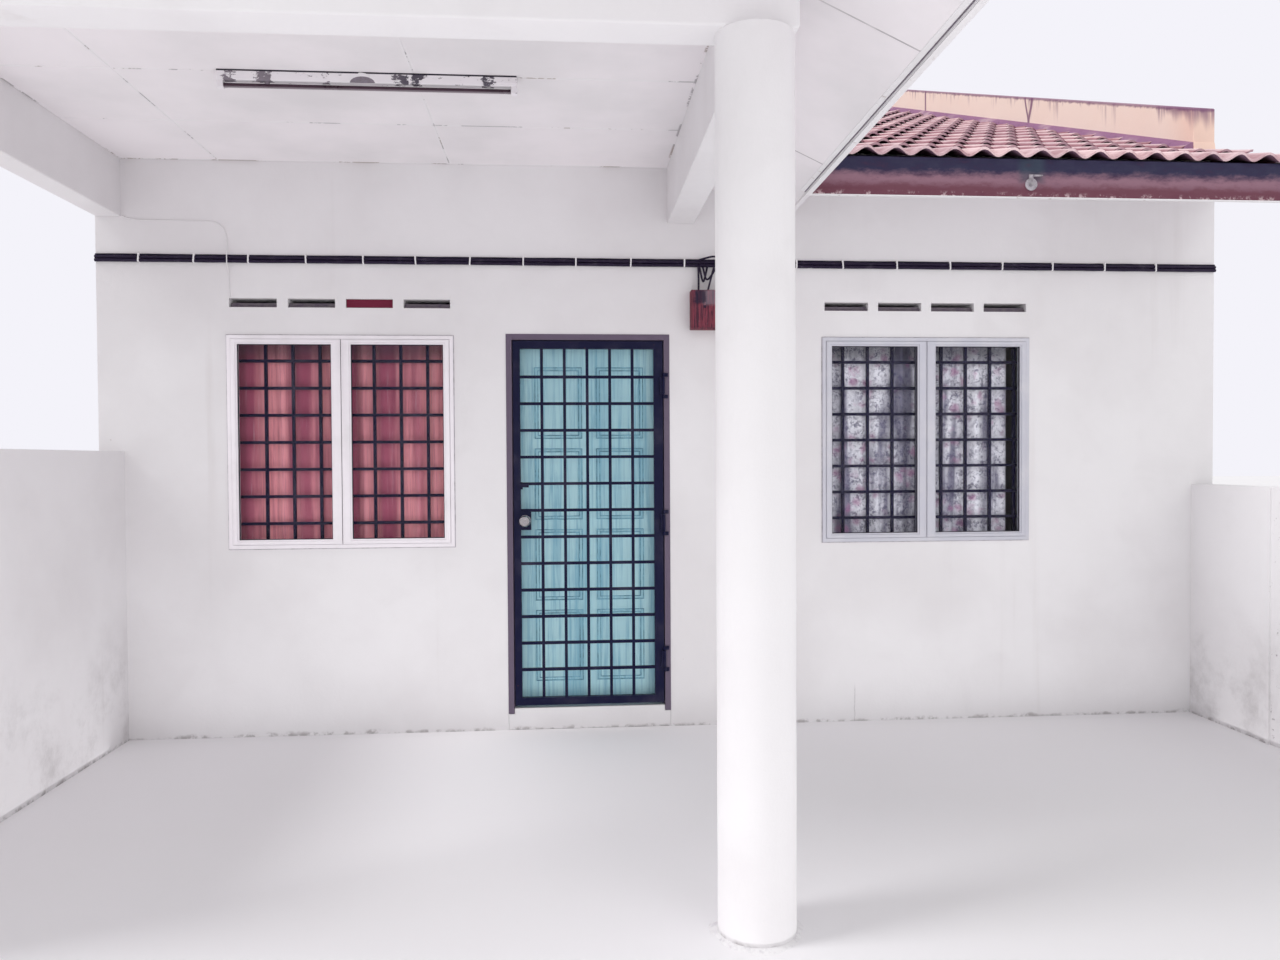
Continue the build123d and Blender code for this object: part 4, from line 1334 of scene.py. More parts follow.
class HOUSE_OT_roof_tiles(bpy.types.Operator):
    """Lay the tiles of the main roof and the porch roof, course by course"""

    bl_idname = "house.roof_tiles"
    bl_label = "Roof tiles"

    def execute(self, context):
        roof = context.scene.house_roof
        tile = tile_shape(roof)
        rng = random.Random(23)
        low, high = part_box("main_roof_rear")
        forward = (roof.build + roof.tilt) * MAIN_RISE
        for name, side in (("front", 1), ("rear", -1)):
            corner = (-side * OUTER, MIDDLE - side * (high.y - MIDDLE), low.z)
            slope = slope_place(corner, (side, 0, 0), (0, side, MAIN_RISE), forward)
            bm, eaves = bmesh.new(), bmesh.new()
            for part, courses, reach in ((eaves, (0, 1), OUTER), (bm, range(2, 20), INNER)):
                lay_tiles(part, roof, tile, slope, 2 * OUTER, courses, rng)
                for way in (-1, 1):
                    cut_off(part, (way * reach, 0, 0), (way, 0, 0))
            cut_off(bm, (0, MIDDLE, 0), (0, side, 0))
            pour(bm, eaves)
            if name == "front":
                valley_cut(bm, -ACROSS, roof.valley)
            place_piece(
                f"{name}_tiles", bm, "roof_tile",
                replaces=[f"main_roof_{name}"], smooth=40,
            )

        low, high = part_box("porch_roof")
        bm = bmesh.new()
        up = (-1, 0, PORCH_RISE)
        slope = slope_place((high.x, low.y, low.z), (0, 1, 0), up, roof.build * PORCH_RISE)
        lay_tiles(bm, roof, tile, slope, high.y - low.y, range(12), rng)
        cut_off(bm, (-OUTER, 0, 0), (-1, 0, 0))
        cut_off(bm, (0, low.y, 0), (0, -1, 0))
        valley_cut(bm, ACROSS, roof.valley)
        place_piece(
            "porch_tiles", bm, "roof_tile", replaces=["porch_roof"], smooth=40
        )
        bpy.data.meshes.remove(tile)
        return {"FINISHED"}


class HOUSE_OT_roof_lines(bpy.types.Operator):
    """Ridge caps on their mortar, and the open valley gutter"""

    bl_idname = "house.roof_lines"
    bl_label = "Ridges and valley"

    def lay_caps(self, roof, start, end, count, rng):
        """Tapered half round caps from start to end, each over the next one's tail."""
        start, end = Vector(start), Vector(end)
        bm = bmesh.new()
        crest = bm.verts.layers.float.new("crest")
        tone = bm.faces.layers.float.new("tone")
        step = (end - start) / count
        for i in range(count):
            before = set(bm.faces)
            wide = roof.cap_radius - rng.uniform(0, 0.001)
            over = step.normalized() * (0.02 if i < count - 1 else 0)
            place = start + step * i
            add_rod(bm, place, place + step + over, wide, 28, wide - 0.012)
            shade = rng.uniform(0.66, 1)
            for face in set(bm.faces) - before:
                face[tone] = shade
        # Caps go paler toward their tops: wear and a painted highlight
        for vert in bm.verts:
            vert[crest] = 0.45 + 0.45 * max(0, (vert.co.z - start.z) / roof.cap_radius)
        return bm

    def add_bed(self, bm, start, end, rng):
        """Lumpy mortar roll along a line."""
        start, end = Vector(start), Vector(end)
        count = int((end - start).length / 0.09)
        rod = add_rod(bm, start, end, 0.016, 8)
        sides = [edge for edge in edges_at(rod) if edge.calc_length() > 1]
        bmesh.ops.subdivide_edges(bm, edges=sides, cuts=count)
        axis = (end - start).normalized()
        for vert in bm.verts:
            off = vert.co - start
            if (off - axis * off.dot(axis)).length < 0.03:
                vert.co.z += rng.uniform(-0.005, 0.004)

    def fold_gutter(self, run):
        """Sheet folded along the valley, for that far into the house."""
        wide = 0.13
        foot = VALLEY + Vector((0, 0, EAVE_TOP + 0.004))
        wings = (
            ACROSS * wide + Vector((0, 0, ACROSS.y * MAIN_RISE * wide)),
            Vector(),
            -ACROSS * wide + Vector((0, 0, ACROSS.x * PORCH_RISE * wide)),
        )
        rise = run * MAIN_RISE
        bm = bmesh.new()
        edges = add_path(bm, [foot + wing for wing in wings])[1]
        draw_out(bm, edges, (-rise / PORCH_RISE, run, rise))
        bmesh.ops.recalc_face_normals(bm, faces=bm.faces)
        bmesh.ops.solidify(bm, geom=bm.faces[:], thickness=0.002)
        cut_off(bm, (0, foot.y, 0), (0, -1, 0))
        cut_off(bm, (-OUTER, 0, 0), (-1, 0, 0))
        return bm

    def execute(self, context):
        roof = context.scene.house_roof
        rng = random.Random(5)
        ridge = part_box("ridge_caps")[1].z - roof.cap_radius
        ends = (-INNER, MIDDLE, ridge), (INNER, MIDDLE, ridge)
        caps = self.lay_caps(roof, *ends, roof.cap_count, rng)
        ridge -= 0.012
        cut_off(caps, (0, 0, ridge), (0, 0, -1))
        place_piece(
            "main_ridge_caps", caps, "roof_tile", replaces=["ridge_caps"], smooth=40
        )

        low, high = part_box("porch_roof")
        porch = high.z - roof.cap_bed
        ends = (-OUTER, low.y, porch), (-OUTER, high.y, porch)
        caps = self.lay_caps(roof, *ends, round((high.y - low.y) / roof.cap_gauge), rng)
        porch -= 0.008
        cut_off(caps, (-OUTER, 0, 0), (-1, 0, 0))
        cut_off(caps, (0, 0, porch), (0, 0, -1))
        place_piece("porch_ridge_caps", caps, "roof_tile", smooth=40)

        bm = bmesh.new()
        edge = roof.cap_radius - 0.004
        for side in (-1, 1):
            y = MIDDLE + side * edge
            self.add_bed(bm, (-INNER, y, ridge), (INNER, y, ridge), rng)
        x = -OUTER + edge
        self.add_bed(bm, (x, low.y + 0.01, porch), (x, high.y - 0.02, porch), rng)
        place_piece("cap_mortar", bm, "mortar", smooth=50)

        gutter = self.fold_gutter(high.y - VALLEY.y - 0.03)
        place_piece("valley_gutter", gutter, "dull_zinc")
        return {"FINISHED"}


class HOUSE_OT_parapets(bpy.types.Operator):
    """Parapets with worn edges and a mortar fillet against the tiles"""

    bl_idname = "house.parapets"
    bl_label = "Parapets"

    def add_fillet(self, bm, side, way, reach, rng):
        """Uneven mortar against a parapet, from the ridge down to the front or the rear."""
        outline = ((0, 0), (0.060, 0), (0.040, 0.026), (0.012, 0.040), (0, 0.046))
        parts = 40
        start = Vector((side * INNER, MIDDLE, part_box("right_party_wall")[1].z - 0.035))
        run = Vector((0, way * reach, -reach * MAIN_RISE))
        places = [start + Vector((-side * x, 0, z)) for x, z in outline]
        edges = add_path(bm, places, closed=True)[1]
        for part in range(1, parts + 1):
            points, edges = draw_out(bm, edges, run / parts)
            for vert in points:
                if part < parts and abs(vert.co.x - start.x) > 0.005:
                    vert.co.z += rng.uniform(-0.003, 0.003)

    def execute(self, context):
        for node in ("left_parapet", "right_parapet"):
            eased_copy(node, 0.006, "parapet_render")
        rng = random.Random(17)
        bm = bmesh.new()
        whole = MIDDLE - FRONT
        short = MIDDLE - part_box("left_parapet")[0].y - 0.06
        for side, way, reach in ((-1, -1, short), (-1, 1, whole), (1, -1, whole), (1, 1, whole)):
            self.add_fillet(bm, side, way, reach, rng)
        close_holes(bm, bm.edges)
        place_piece("parapet_fillets", bm, "mortar", smooth=50)

        bm = bmesh.new()
        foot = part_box("right_parapet")[0].z
        wide = OUTER - INNER - 0.001
        for x, y, way in ((INNER, FRONT, -1), (INNER, BACK, 1), (-OUTER + 0.001, BACK, 1)):
            end = add_box(bm, (x, y - 0.012, foot - 0.045), (x + wide, y + 0.012, foot + 0.01))
            for vert in end:
                if vert.co.z > foot and (vert.co.y - y) * way > 0:
                    vert.co.y -= way * 0.010
        ease(bm, 0.002)
        place_piece("parapet_feet", bm, "parapet_render")
        return {"FINISHED"}


class HOUSE_OT_eaves(bpy.types.Operator):
    """Fascias, barge board, soffits and the white beads under them"""

    bl_idname = "house.eaves"
    bl_label = "Eaves"

    def execute(self, context):
        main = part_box("eave_fascias")[0]
        eased_copy("eave_fascias", 0.002, "eave_board")
        eased_copy("barge_board", 0.002, "verge_board")
        coat_nodes("verge_board", "eave_end_boards")
        coat_nodes("soffit_paint", "eave_soffits", "verge_soffit")
        for name, coat, outward in (
            ("porch_eave_board", "eave_board", 1),
            ("soffit_step", "soffit_paint", -1),
        ):
            bm = merged_copy("porch_fascia")
            cut_off(bm, (0, main.y, 0), (0, outward, 0))
            ease(bm, 0.002)
            place_piece(name, bm, coat, replaces=["porch_fascia"])
        self.fit_beads(main)
        self.fix_bracket(main.y)
        return {"FINISHED"}

    def fit_beads(self, main):
        """Beads along the lower edges, and a dark strip painted as the shade in the gap along the
        porch's eave.
        """
        low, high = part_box("porch_fascia")
        under = low.z + 0.012  # underside of the soffit against the fascia
        gap = low.x - 0.0075
        bm = bmesh.new()
        corners = add_box(bm, (low.x - 0.025, low.y, under - 0.002), (gap, main.y, under + 0.002))
        for vert in corners:
            vert.co.z += (low.x - vert.co.x) * PORCH_RISE
        for x, z, far_x, far_z in (
            (low.x - 0.002, low.z - 0.002, high.x, low.z + 0.001),
            (low.x - 0.002, low.z - 0.001, low.x + 0.001, under + 0.002),
        ):
            add_box(bm, (x, low.y, z), (far_x, main.y, far_z))
        for y, start in ((main.y, high.x), (2 * MIDDLE - main.y - 0.025, -OUTER)):
            add_box(bm, (start, y, main.z - 0.003), (OUTER, y + 0.025, main.z + 0.001))
        place_piece("eave_beads", bm, "trim_paint")

        # Dark grey strip at the back of the gap: painted shade in it
        bm = bmesh.new()
        width = 0.0056
        base = under + (low.x - gap) * PORCH_RISE
        foot = base - 0.0008 - width * PORCH_RISE
        add_box(bm, (gap, low.y, foot), (gap + width, main.y, base + 0.003))
        place_piece("eave_gap_shade", bm, "joint_shadow")

    def fix_bracket(self, face):
        """Bracket and its bolt on the fascia at the front."""

        def at(x, y, z):
            return BRACKET_X + x, face + y, BRACKET_Z + z

        bm = bmesh.new()
        add_rod(bm, at(0, -0.007, 0), at(0, 0.001, 0), 0.031, 28)
        add_box(bm, at(-0.011, -0.005, 0), at(0.011, 0.001, 0.050))
        add_box(bm, at(0.006, -0.022, 0.038), at(0.052, -0.003, 0.044))
        ease(bm, 0.0012, 1)
        place_piece("fascia_bracket", bm, "pale_seal")
        bm = bmesh.new()
        add_rod(bm, at(-0.004, -0.015, -0.002), at(-0.004, -0.006, -0.002), 0.013, 6)
        add_rod(bm, at(-0.004, -0.022, -0.002), at(-0.004, -0.015, -0.002), 0.006, 12)
        ease(bm, 0.0008, 1)
        place_piece("bracket_bolt", bm, "dull_zinc")


def window_starts():
    """Left side of each front window."""
    return [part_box("left_window_frame")[0].x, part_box("right_window_frame")[0].x]


class HOUSE_OT_windows(bpy.types.Operator):
    """Aluminium casements with beads and rubber round their glass"""

    bl_idname = "house.windows"
    bl_label = "Windows"

    def openings(self, sizes, start):
        """The frame's rectangle, and the sash and glass rectangles of one window."""
        low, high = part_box("left_window_frame")
        x1 = start + high.x - low.x
        middle = (start + x1) / 2
        gap = sizes.sash_gap
        pane = (x1 - start - 2 * sizes.margin - sizes.meeting) / 2
        found = []
        for a, b, g in (
            (start + sizes.face + gap, middle - HALF_SASH_GAP, start + sizes.margin),
            (middle + HALF_SASH_GAP, x1 - sizes.face - gap, middle + sizes.meeting / 2),
        ):
            sash = (a, b, low.z + sizes.face + gap, high.z - sizes.face - gap)
            found.append((sash, (g, g + pane, low.z + sizes.rail, high.z - sizes.rail)))
        return (start, x1, low.z, high.z), found

    def casements(self, sizes, start):
        outer, sashes = self.openings(sizes, start)
        middle = (outer[0] + outer[1]) / 2
        bm = bmesh.new()
        add_ring(bm, outer, grown(outer, -sizes.face), FRONT - 0.010, FRONT + 0.050)
        for sash, pane in sashes:
            bead = grown(pane, 0.0086)
            add_ring(bm, sash, grown(pane, 0.009), FRONT - 0.014, FRONT + 0.030)
            add_ring(bm, bead, pane, FRONT - 0.0105, FRONT + 0.006)
            add_ring(bm, bead, pane, FRONT + 0.011, FRONT + 0.026)
        add_box(
            bm, (middle - 0.004, FRONT + 0.031, outer[2] + sizes.face),
            (middle + 0.004, FRONT + 0.050, outer[3] - sizes.face),
        )
        ease(bm, 0.0013)
        return bm

    def seal(self, sizes, start, rubber, sealant):
        """Rubber round the glass and between the sashes, and sealant round the frame."""
        outer, sashes = self.openings(sizes, start)
        middle = (outer[0] + outer[1]) / 2
        add_ring(sealant, grown(outer, 0.004), outer, FRONT - 0.0018, FRONT)
        # Dark rubber strip between the sashes: a weather strip, and painted shade in the gap there
        add_box(
            rubber, (middle - 0.0019, FRONT - 0.003, outer[2] + 0.021),
            (middle + 0.0019, FRONT + 0.030, outer[3] - 0.021),
        )
        for _, pane in sashes:
            inner = grown(pane, -sizes.bead)
            add_ring(rubber, grown(pane, 0.0004), inner, FRONT - 0.002, FRONT + 0.0058)

    def execute(self, context):
        sizes = context.scene.house_windows
        rear, rubber, sealant = bmesh.new(), bmesh.new(), bmesh.new()
        starts = window_starts()
        for start, side, metal in zip(starts, ("left", "right"), ("white", "silver")):
            place_piece(
                f"{side}_casements", self.casements(sizes, start), f"{metal}_aluminium",
                replaces=[f"{side}_window_frame"], smooth=35,
            )
        for start in starts:
            bm = self.casements(sizes, start)
            turned_about(bm, bm.verts)
            pour(rear, bm)
            self.seal(sizes, start, rubber, sealant)
        place_piece(
            "rear_casements", rear, "silver_aluminium",
            replaces=["rear_window_frames"], smooth=35,
        )
        both_elevations(rubber)
        place_piece("glass_rubbers", rubber, "rubber")
        both_elevations(sealant)
        place_piece("frame_sealant", sealant, "pale_seal")
        coat_nodes("window_glass", "window_glass")
        coat_nodes("bar_steel", "window_grilles")
        return {"FINISHED"}


class HOUSE_OT_vents(bpy.types.Operator):
    """Dusty slats and boards in the slots over the windows"""

    bl_idname = "house.vents"
    bl_label = "Vent slots"

    def add_slat(self, bm, x0, x1, z):
        """Slat that leans back at its top, with a lath behind it."""
        slat = add_box(bm, (x0, FRONT + 0.016, z), (x1, FRONT + 0.020, z + 0.028))
        for vert in slat:
            if vert.co.z > z + 0.02:
                vert.co.y += 0.018
        add_box(bm, (x0, FRONT + 0.020, z + 0.013), (x1, FRONT + 0.023, z + 0.016))

    def execute(self, context):
        vents = context.scene.house_vents
        slats, boards = bmesh.new(), bmesh.new()
        z = vents.sill
        for start in window_starts():
            for i in range(4):
                x0 = start + vents.first + i * vents.pitch + 0.001
                x1 = x0 + vents.width - 0.002
                if start < 0 and i == 2:
                    add_box(boards, (x0, FRONT + 0.012, z + 0.001), (x1, FRONT + 0.018, z + 0.047))
                else:
                    self.add_slat(slats, x0, x1, z)
        for name, bm, coat in (
            ("vent_slats", slats, "vent_slat"),
            ("vent_boards", boards, "dark_board"),
        ):
            ease(bm, 0.001, 1)
            both_elevations(bm)
            place_piece(name, bm, coat)
        return {"FINISHED"}


def curtain_sheet(name, start, wide, coat, seed):
    """Hung cloth: a fine grid moved into folds that wander and spread downward."""
    sizes = bpy.context.scene.house_windows
    low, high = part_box("window_curtains")
    x0, x1 = start + sizes.hem, start + wide
    z0, z1 = low.z + 0.002, high.z - 0.001
    centre = (low.y + high.y) / 2 - 0.001
    bm = bmesh.new()
    place = Matrix.Translation(((x0 + x1) / 2, centre, (z0 + z1) / 2))
    place = place @ Matrix.Rotation(pi / 2, 4, "X") @ Matrix.Diagonal((x1 - x0, z1 - z0, 1, 1))
    bmesh.ops.create_grid(bm, x_segments=240, y_segments=40, size=0.5, matrix=place)
    rng = random.Random(seed)
    phases = [rng.uniform(0, 2 * pi) for _ in range(4)]
    for vert in bm.verts:
        u = (vert.co.x - x0) / (x1 - x0)
        v = (vert.co.z - z0) / (z1 - z0)
        drift = 0.9 * sin(2 * pi * u * 1.7 + phases[0]) + 0.5 * sin(2 * pi * u * 3.1 + phases[1])
        drift += 0.35 * (1 - v) * sin(2 * pi * u * 2.3 + phases[2])
        depth = sizes.fold * (0.78 + 0.22 * sin(2 * pi * u * 2.9 + phases[3] + v))
        vert.co.y = centre + depth * sin(2 * pi * sizes.folds * u + drift)
    return place_piece(
        name, bm, coat, replaces=["window_curtains"], smooth=180, outward=False
    )


class HOUSE_OT_curtains(bpy.types.Operator):
    """Brick red curtain on the left, pale flowered one on the right"""

    bl_idname = "house.curtains"
    bl_label = "Curtains"

    def execute(self, context):
        sizes = context.scene.house_windows
        low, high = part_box("left_window_frame")
        left, right = window_starts()
        wide = high.x - low.x - sizes.hem
        piece = curtain_sheet("left_curtain", left, wide, "red_cloth", 3)
        wide -= sizes.bare
        piece = curtain_sheet("right_curtain", right, wide, "flowered_cloth", 8)
        return {"FINISHED"}


class HOUSE_OT_doorway(bpy.types.Operator):
    """Steel door frame and the frame side of the hinges"""

    bl_idname = "house.doorway"
    bl_label = "Doorway"

    def execute(self, context):
        eased_copy("door_frame", 0.002, "frame_steel")
        coat_nodes("leaf_steel", "door_hinges")
        return {"FINISHED"}


class HOUSE_OT_grille_leaf(bpy.types.Operator):
    """Welded security grille with its lock and round knob"""

    bl_idname = "house.grille_leaf"
    bl_label = "Security grille"

    def execute(self, context):
        eased_copy(
            "security_grille", 0.0014, "leaf_steel", "grille_leaf", steps=1,
            name="welded_grille",
        )
        low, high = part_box("grille_knob")
        centre = (low + high) / 2
        radius = (high.x - low.x) / 2
        # How far out from its axis and from the leaf, in radii
        profile = (
            (0.0, 0.0), (1.0, 0.0), (1.0, 0.10), (0.82, 0.20), (0.42, 0.26), (0.38, 0.62),
            (0.55, 0.78), (0.90, 0.98), (1.0, 1.25), (0.96, 1.50), (0.80, 1.72), (0.45, 1.84),
            (0.30, 1.80), (0.0, 1.80),
        )  # fmt: skip
        deep = (high.y - low.y) / 1.875
        bm = bmesh.new()
        places = [(centre.x + r * radius, high.y - d * deep, centre.z) for r, d in profile]
        points, edges = add_path(bm, places)
        bmesh.ops.spin(
            bm,
            geom=points + edges,
            cent=(centre.x, 0, centre.z),
            axis=(0, 1, 0),
            angle=2 * pi,
            steps=36,
            use_merge=True,
        )
        bmesh.ops.remove_doubles(bm, verts=bm.verts, dist=1e-5)
        place_piece(
            "round_knob", bm, "bright_steel", "grille_leaf", ["grille_knob"],
            smooth=35,
        )
        return {"FINISHED"}


def panel_beads(panels, sides, face, outward):
    """Dark beads round two columns of panels on a door's face, as painted shade along the panel
    edges; outward is -1 to the front.
    """
    x0, x1, top = sides
    half = panels.width / 2
    bm = bmesh.new()
    for column in (-0.5, 0.5):
        middle = (x0 + x1) / 2 + column * panels.column_pitch
        for row in range(4):
            head = top - panels.top - row * panels.row_pitch
            panel = (middle - half, middle + half, head - panels.height, head)
            for inset in (0, panels.groove):
                ring = grown(panel, -inset)
                inner = grown(ring, -panels.line)
                add_ring(bm, ring, inner, face + outward * 0.0008, face - outward * 0.0045)
    ease(bm, 0.0006)
    return bm


class HOUSE_OT_panel_door(bpy.types.Operator):
    """Blue green door with beads round two columns of raised panels"""

    bl_idname = "house.panel_door"
    bl_label = "Front door"

    def execute(self, context):
        panels = context.scene.house_door
        eased_copy("front_door", 0.0022, "door_skin", "door_leaf")
        low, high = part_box("front_door")
        beads = panel_beads(panels, (low.x, high.x, high.z), low.y, -1)
        place_piece("panel_beads", beads, "door_line", "door_leaf")
        return {"FINISHED"}


class HOUSE_OT_rear_door(bpy.types.Operator):
    """Rear door with the front door's panels, in a frame without a sill"""

    bl_idname = "house.rear_door"
    bl_label = "Rear door"

    def execute(self, context):
        panels = context.scene.house_door
        low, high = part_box("rear_door")
        x0, x1, top = low.x + panels.frame, high.x - panels.frame, high.z - panels.frame
        bm = bmesh.new()
        outer, inner = (low.x, high.x, -1, high.z), (x0, x1, -0.5, top)
        add_ring(bm, outer, inner, low.y, high.y)
        cut_off(bm, (0, 0, low.z), (0, 0, -1))
        ease(bm, 0.002)
        place_piece("rear_frame", bm, "frame_steel", replaces=["rear_door"])
        bm = bmesh.new()
        face = BACK - 0.020
        add_box(bm, (x0, face - 0.040, low.z), (x1, face, top))
        ease(bm, 0.0022)
        place_piece("rear_leaf", bm, "door_skin", replaces=["rear_door"])
        beads = panel_beads(panels, (x0, x1, top), face, 1)
        place_piece("rear_beads", beads, "door_line")
        return {"FINISHED"}


class HOUSE_OT_meter_box(bpy.types.Operator):
    """Old wooden box with the wires that drop into it"""

    bl_idname = "house.meter_box"
    bl_label = "Meter box"

    def execute(self, context):
        low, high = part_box("meter_box")
        step, lid = 0.004, low.y + 0.014
        bm = bmesh.new()
        add_box(bm, (low.x, lid, low.z), high)
        add_box(
            bm, (low.x + step, low.y, low.z + step), (high.x - step, lid, high.z - step)
        )
        ease(bm, 0.002)
        place_piece("wooden_box", bm, "box_wood", replaces=["meter_box"])

        bm = bmesh.new()
        top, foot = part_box("wall_cable")[0].z + 0.012, high.z
        near, out = FRONT - 0.012, FRONT - 0.045
        for run in (
            ((0.046, near, top), (0.045, out, top - 0.02), (0.044, out, foot - 0.01)),
            (
                (0.053, near, top), (0.054, out, top - 0.04), (0.066, out - 0.01, foot + 0.042),
                (0.078, out, foot + 0.060), (0.100, near, top),
            ),
            (
                (0.070, near, top), (0.074, out, top - 0.04), (0.084, out - 0.008, foot + 0.055),
                (0.110, out, foot + 0.070), (0.150, near, top - 0.01),
            ),
            ((0.138, near, top), (0.120, out, top - 0.05), (0.093, out, foot - 0.01)),
            (
                (0.030, near, top + 0.02), (0.090, out, top + 0.035),
                (0.150, out, top + 0.045), (0.175, near, top + 0.02),
            ),
        ):  # fmt: skip
            add_line(bm, [(low.x + x, y, z) for x, y, z in run], 0.0055)
        place_piece("box_wires", bm, "cable_sheath", smooth=60)
        return {"FINISHED"}


class HOUSE_OT_cables(bpy.types.Operator):
    """Cable bundle in its clips, and a thin painted-over wire on the wall"""

    bl_idname = "house.cables"
    bl_label = "Wall cables"

    def execute(self, context):
        low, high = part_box("wall_cable")
        rng = random.Random(31)
        count = 84
        bm = bmesh.new()
        for level, radius in ((0.0095, 0.0092), (0.0275, 0.0088), (0.0405, 0.0040)):
            points = []
            for i in range(count):
                x = low.x + (high.x - low.x) * i / (count - 1)
                sag = rng.uniform(-0.0010, 0.0008)
                y = FRONT - radius - rng.uniform(0.0006, 0.0022)
                points.append((x, y, low.z + level + sag))
            add_line(bm, points, radius)
        place_piece(
            "cable_bundle", bm, "cable_sheath", replaces=["wall_cable"], smooth=60
        )

        bm = bmesh.new()
        for x in CLIPS:
            lean = rng.uniform(-0.002, 0.002)
            corners = add_box(
                bm, (x - 0.004, FRONT - 0.0235, low.z - 0.001), (x + 0.004, FRONT, high.z + 0.001)
            )
            for vert in corners:
                vert.co.x += lean * (1 if vert.co.z > low.z + 0.02 else -1)
        ease(bm, 0.0025)
        place_piece("cable_clips", bm, "trim_paint")

        bm = bmesh.new()
        close, over = FRONT - 0.0025, FRONT - 0.027  # on the wall, and over the bundle
        run = [
            (-INNER + 0.004, close, 2.800), (-2.94, close, 2.777), (-2.80, close, 2.778),
            (-2.64, close, 2.776), (-2.53, close, 2.777), (-2.463, close, 2.764),
            (-2.436, close, 2.705), (-2.432, close, 2.64), (-2.430, over, 2.612),
            (-2.430, over, 2.575), (-2.430, over, 2.540), (-2.429, close, 2.515),
            (-2.428, close, 2.45), (-2.424, close, 2.40), (-2.424, close, 2.372),
        ]  # fmt: skip
        add_line(bm, run, 0.003)
        place_piece("painted_wire", bm, "wall_paint", smooth=60)
        return {"FINISHED"}


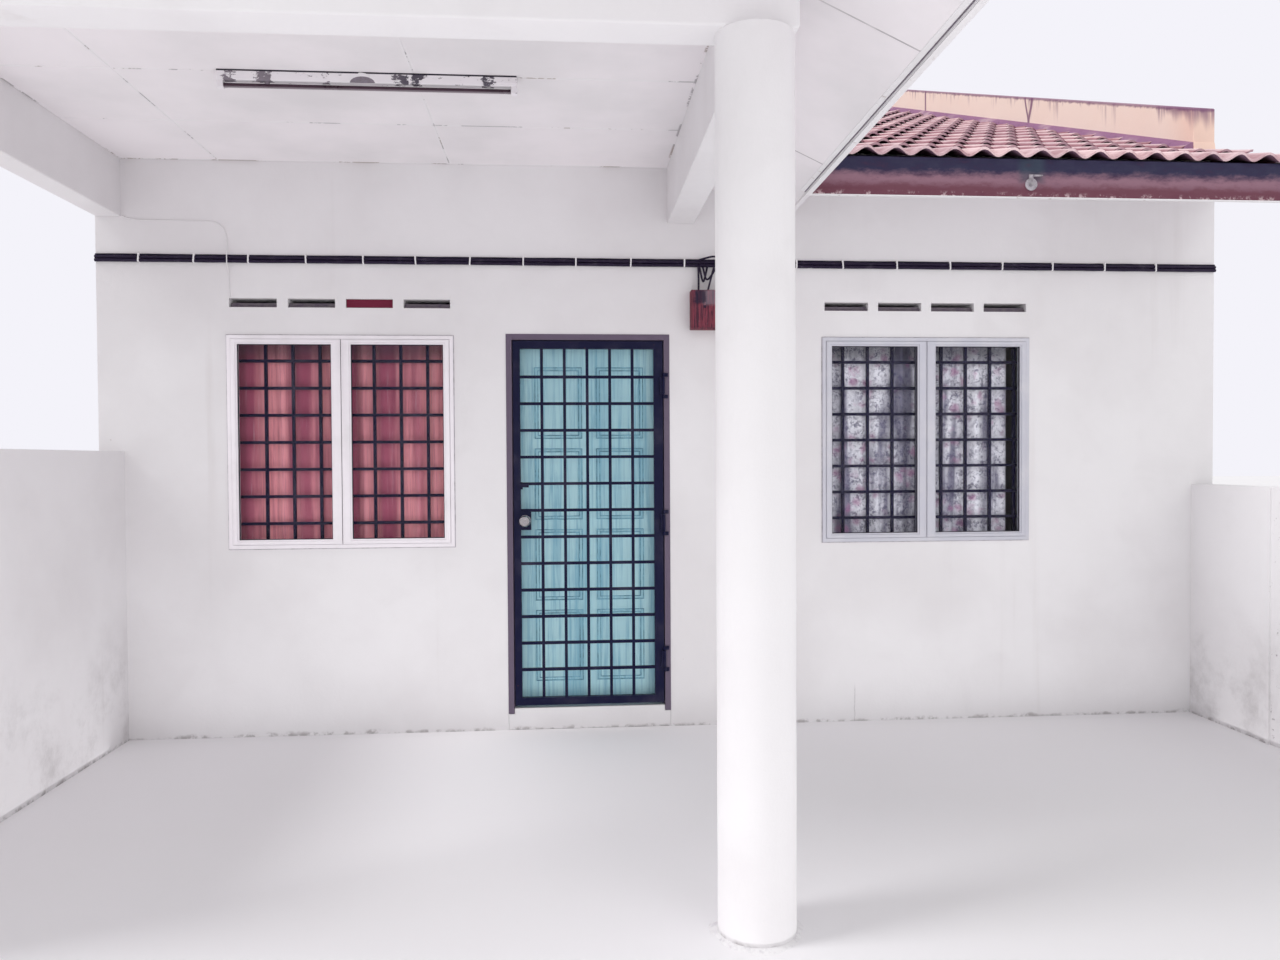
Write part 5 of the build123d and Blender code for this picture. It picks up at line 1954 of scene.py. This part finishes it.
class HOUSE_OT_porch_lamp(bpy.types.Operator):
    """Batten lamp with flaking enamel and an old tube"""

    bl_idname = "house.porch_lamp"
    bl_label = "Porch lamp"

    def execute(self, context):
        low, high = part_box("porch_lamp")
        under = high.z - 0.042  # underside of the batten
        middle = (low.y + high.y) / 2
        self.build_batten(low, high, under, middle)
        self.add_fittings(low, high, under)
        self.fit_tube(middle)
        return {"FINISHED"}

    def build_batten(self, low, high, under, middle):
        """Tapered batten with a holder at each end, a patch and a starter."""
        bm = bmesh.new()
        body = add_box(bm, (low.x, low.y, under), (high.x, high.y, high.z - 0.006))
        for vert in body:
            if vert.co.z < under + 0.001:
                vert.co.y += 0.006 if vert.co.y < middle else -0.006
        for x in (low.x, high.x - 0.026):
            add_box(bm, (x, low.y + 0.008, low.z), (x + 0.026, high.y - 0.008, under + 0.002))
        add_box(
            bm, (high.x - 0.084, low.y - 0.0005, under + 0.010),
            (high.x - 0.006, low.y + 0.010, high.z - 0.007),
        )
        ease(bm, 0.0025)
        x = low.x + 0.20
        add_rod(bm, (x, middle, under - 0.012), (x, middle, under + 0.004), 0.010, 18)
        place_piece("lamp_batten", bm, "peeled_enamel", replaces=["porch_lamp"])

    def add_fittings(self, low, high, under):
        """Dark strip at the ceiling as painted shadow in the gap there, an oval cover and the wire
        that leaves the lamp.
        """
        bm = bmesh.new()
        # Painted shadow: a dark strip in the gap between the batten and the ceiling
        seam = high.z - 0.0065
        add_box(bm, (low.x + 0.002, low.y + 0.001, seam), (high.x - 0.002, high.y - 0.001, high.z))
        ease(bm, 0.0006, 1)
        place_piece("lamp_shadow_strip", bm, "rubber")

        bm = bmesh.new()
        place = Matrix.Translation((low.x + 0.589, low.y + 0.007, under + 0.002))
        place = place @ Matrix.Diagonal((0.052, 0.007, 0.033, 1))
        bmesh.ops.create_uvsphere(bm, u_segments=28, v_segments=14, radius=1, matrix=place)
        cut_off(bm, (0, 0, under), (0, 0, -1))
        place_piece("lamp_cover", bm, "bare_enamel", smooth=40)

        bm = bmesh.new()
        y, z = low.y - 0.0005, high.z - 0.004
        run = (
            (0.570, 0.006, 0.001), (0.578, 0, 0), (0.596, 0, 0.002),
            (0.610, 0, 0.006), (0.618, 0, 0.013), (0.622, 0.006, 0.020),
        )  # fmt: skip
        add_line(bm, [(low.x + along, y + back, z - down) for along, back, down in run], 0.0024)
        place_piece("lamp_wire", bm, "trim_paint", smooth=60)

    def fit_tube(self, middle):
        low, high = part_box("lamp_tube")
        radius = (high.z - low.z) / 2
        z = low.z + radius
        bm = bmesh.new()
        for start, end, wide in (
            (low.x + 0.012, high.x - 0.012, radius - 0.0006),
            (low.x, low.x + 0.014, radius),
            (high.x - 0.014, high.x, radius),
        ):
            add_rod(bm, (start, middle, z), (end, middle, z), wide, 24)
        place_piece(
            "old_lamp_tube", bm, "old_tube", replaces=["lamp_tube"], smooth=40
        )


STEPS = (
    HOUSE_OT_stage,
    HOUSE_OT_walls,
    HOUSE_OT_columns,
    HOUSE_OT_ceiling,
    HOUSE_OT_roof_tiles,
    HOUSE_OT_roof_lines,
    HOUSE_OT_parapets,
    HOUSE_OT_eaves,
    HOUSE_OT_windows,
    HOUSE_OT_vents,
    HOUSE_OT_curtains,
    HOUSE_OT_doorway,
    HOUSE_OT_grille_leaf,
    HOUSE_OT_panel_door,
    HOUSE_OT_rear_door,
    HOUSE_OT_meter_box,
    HOUSE_OT_cables,
    HOUSE_OT_porch_lamp,
)
GROUPS = {
    "house_view": HouseView,
    "house_paint": HousePaint,
    "house_roof": HouseRoof,
    "house_windows": HouseWindows,
    "house_door": HouseDoor,
    "house_vents": HouseVents,
    "house_ceiling": HouseCeiling,
}


class HOUSE_PT_parts(bpy.types.Panel):
    """Lists the parts of the house"""

    bl_idname = "HOUSE_PT_parts"
    bl_label = "Terraced house"
    bl_space_type = "VIEW_3D"
    bl_region_type = "UI"
    bl_category = "House"

    def draw(self, context):
        for step in STEPS:
            self.layout.operator(step.bl_idname)


def register():
    for name, group in GROUPS.items():
        bpy.utils.register_class(group)
        setattr(bpy.types.Scene, name, PointerProperty(type=group))
    for step in (*STEPS, HOUSE_PT_parts):
        bpy.utils.register_class(step)


def unregister():
    for step in reversed((*STEPS, HOUSE_PT_parts)):
        bpy.utils.unregister_class(step)
    for name, group in reversed(GROUPS.items()):
        delattr(bpy.types.Scene, name)
        bpy.utils.unregister_class(group)


def main():
    register()
    for step in STEPS:
        getattr(bpy.ops.house, step.bl_idname.split(".")[1])()
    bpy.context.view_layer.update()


if __name__ == "__main__":
    main()
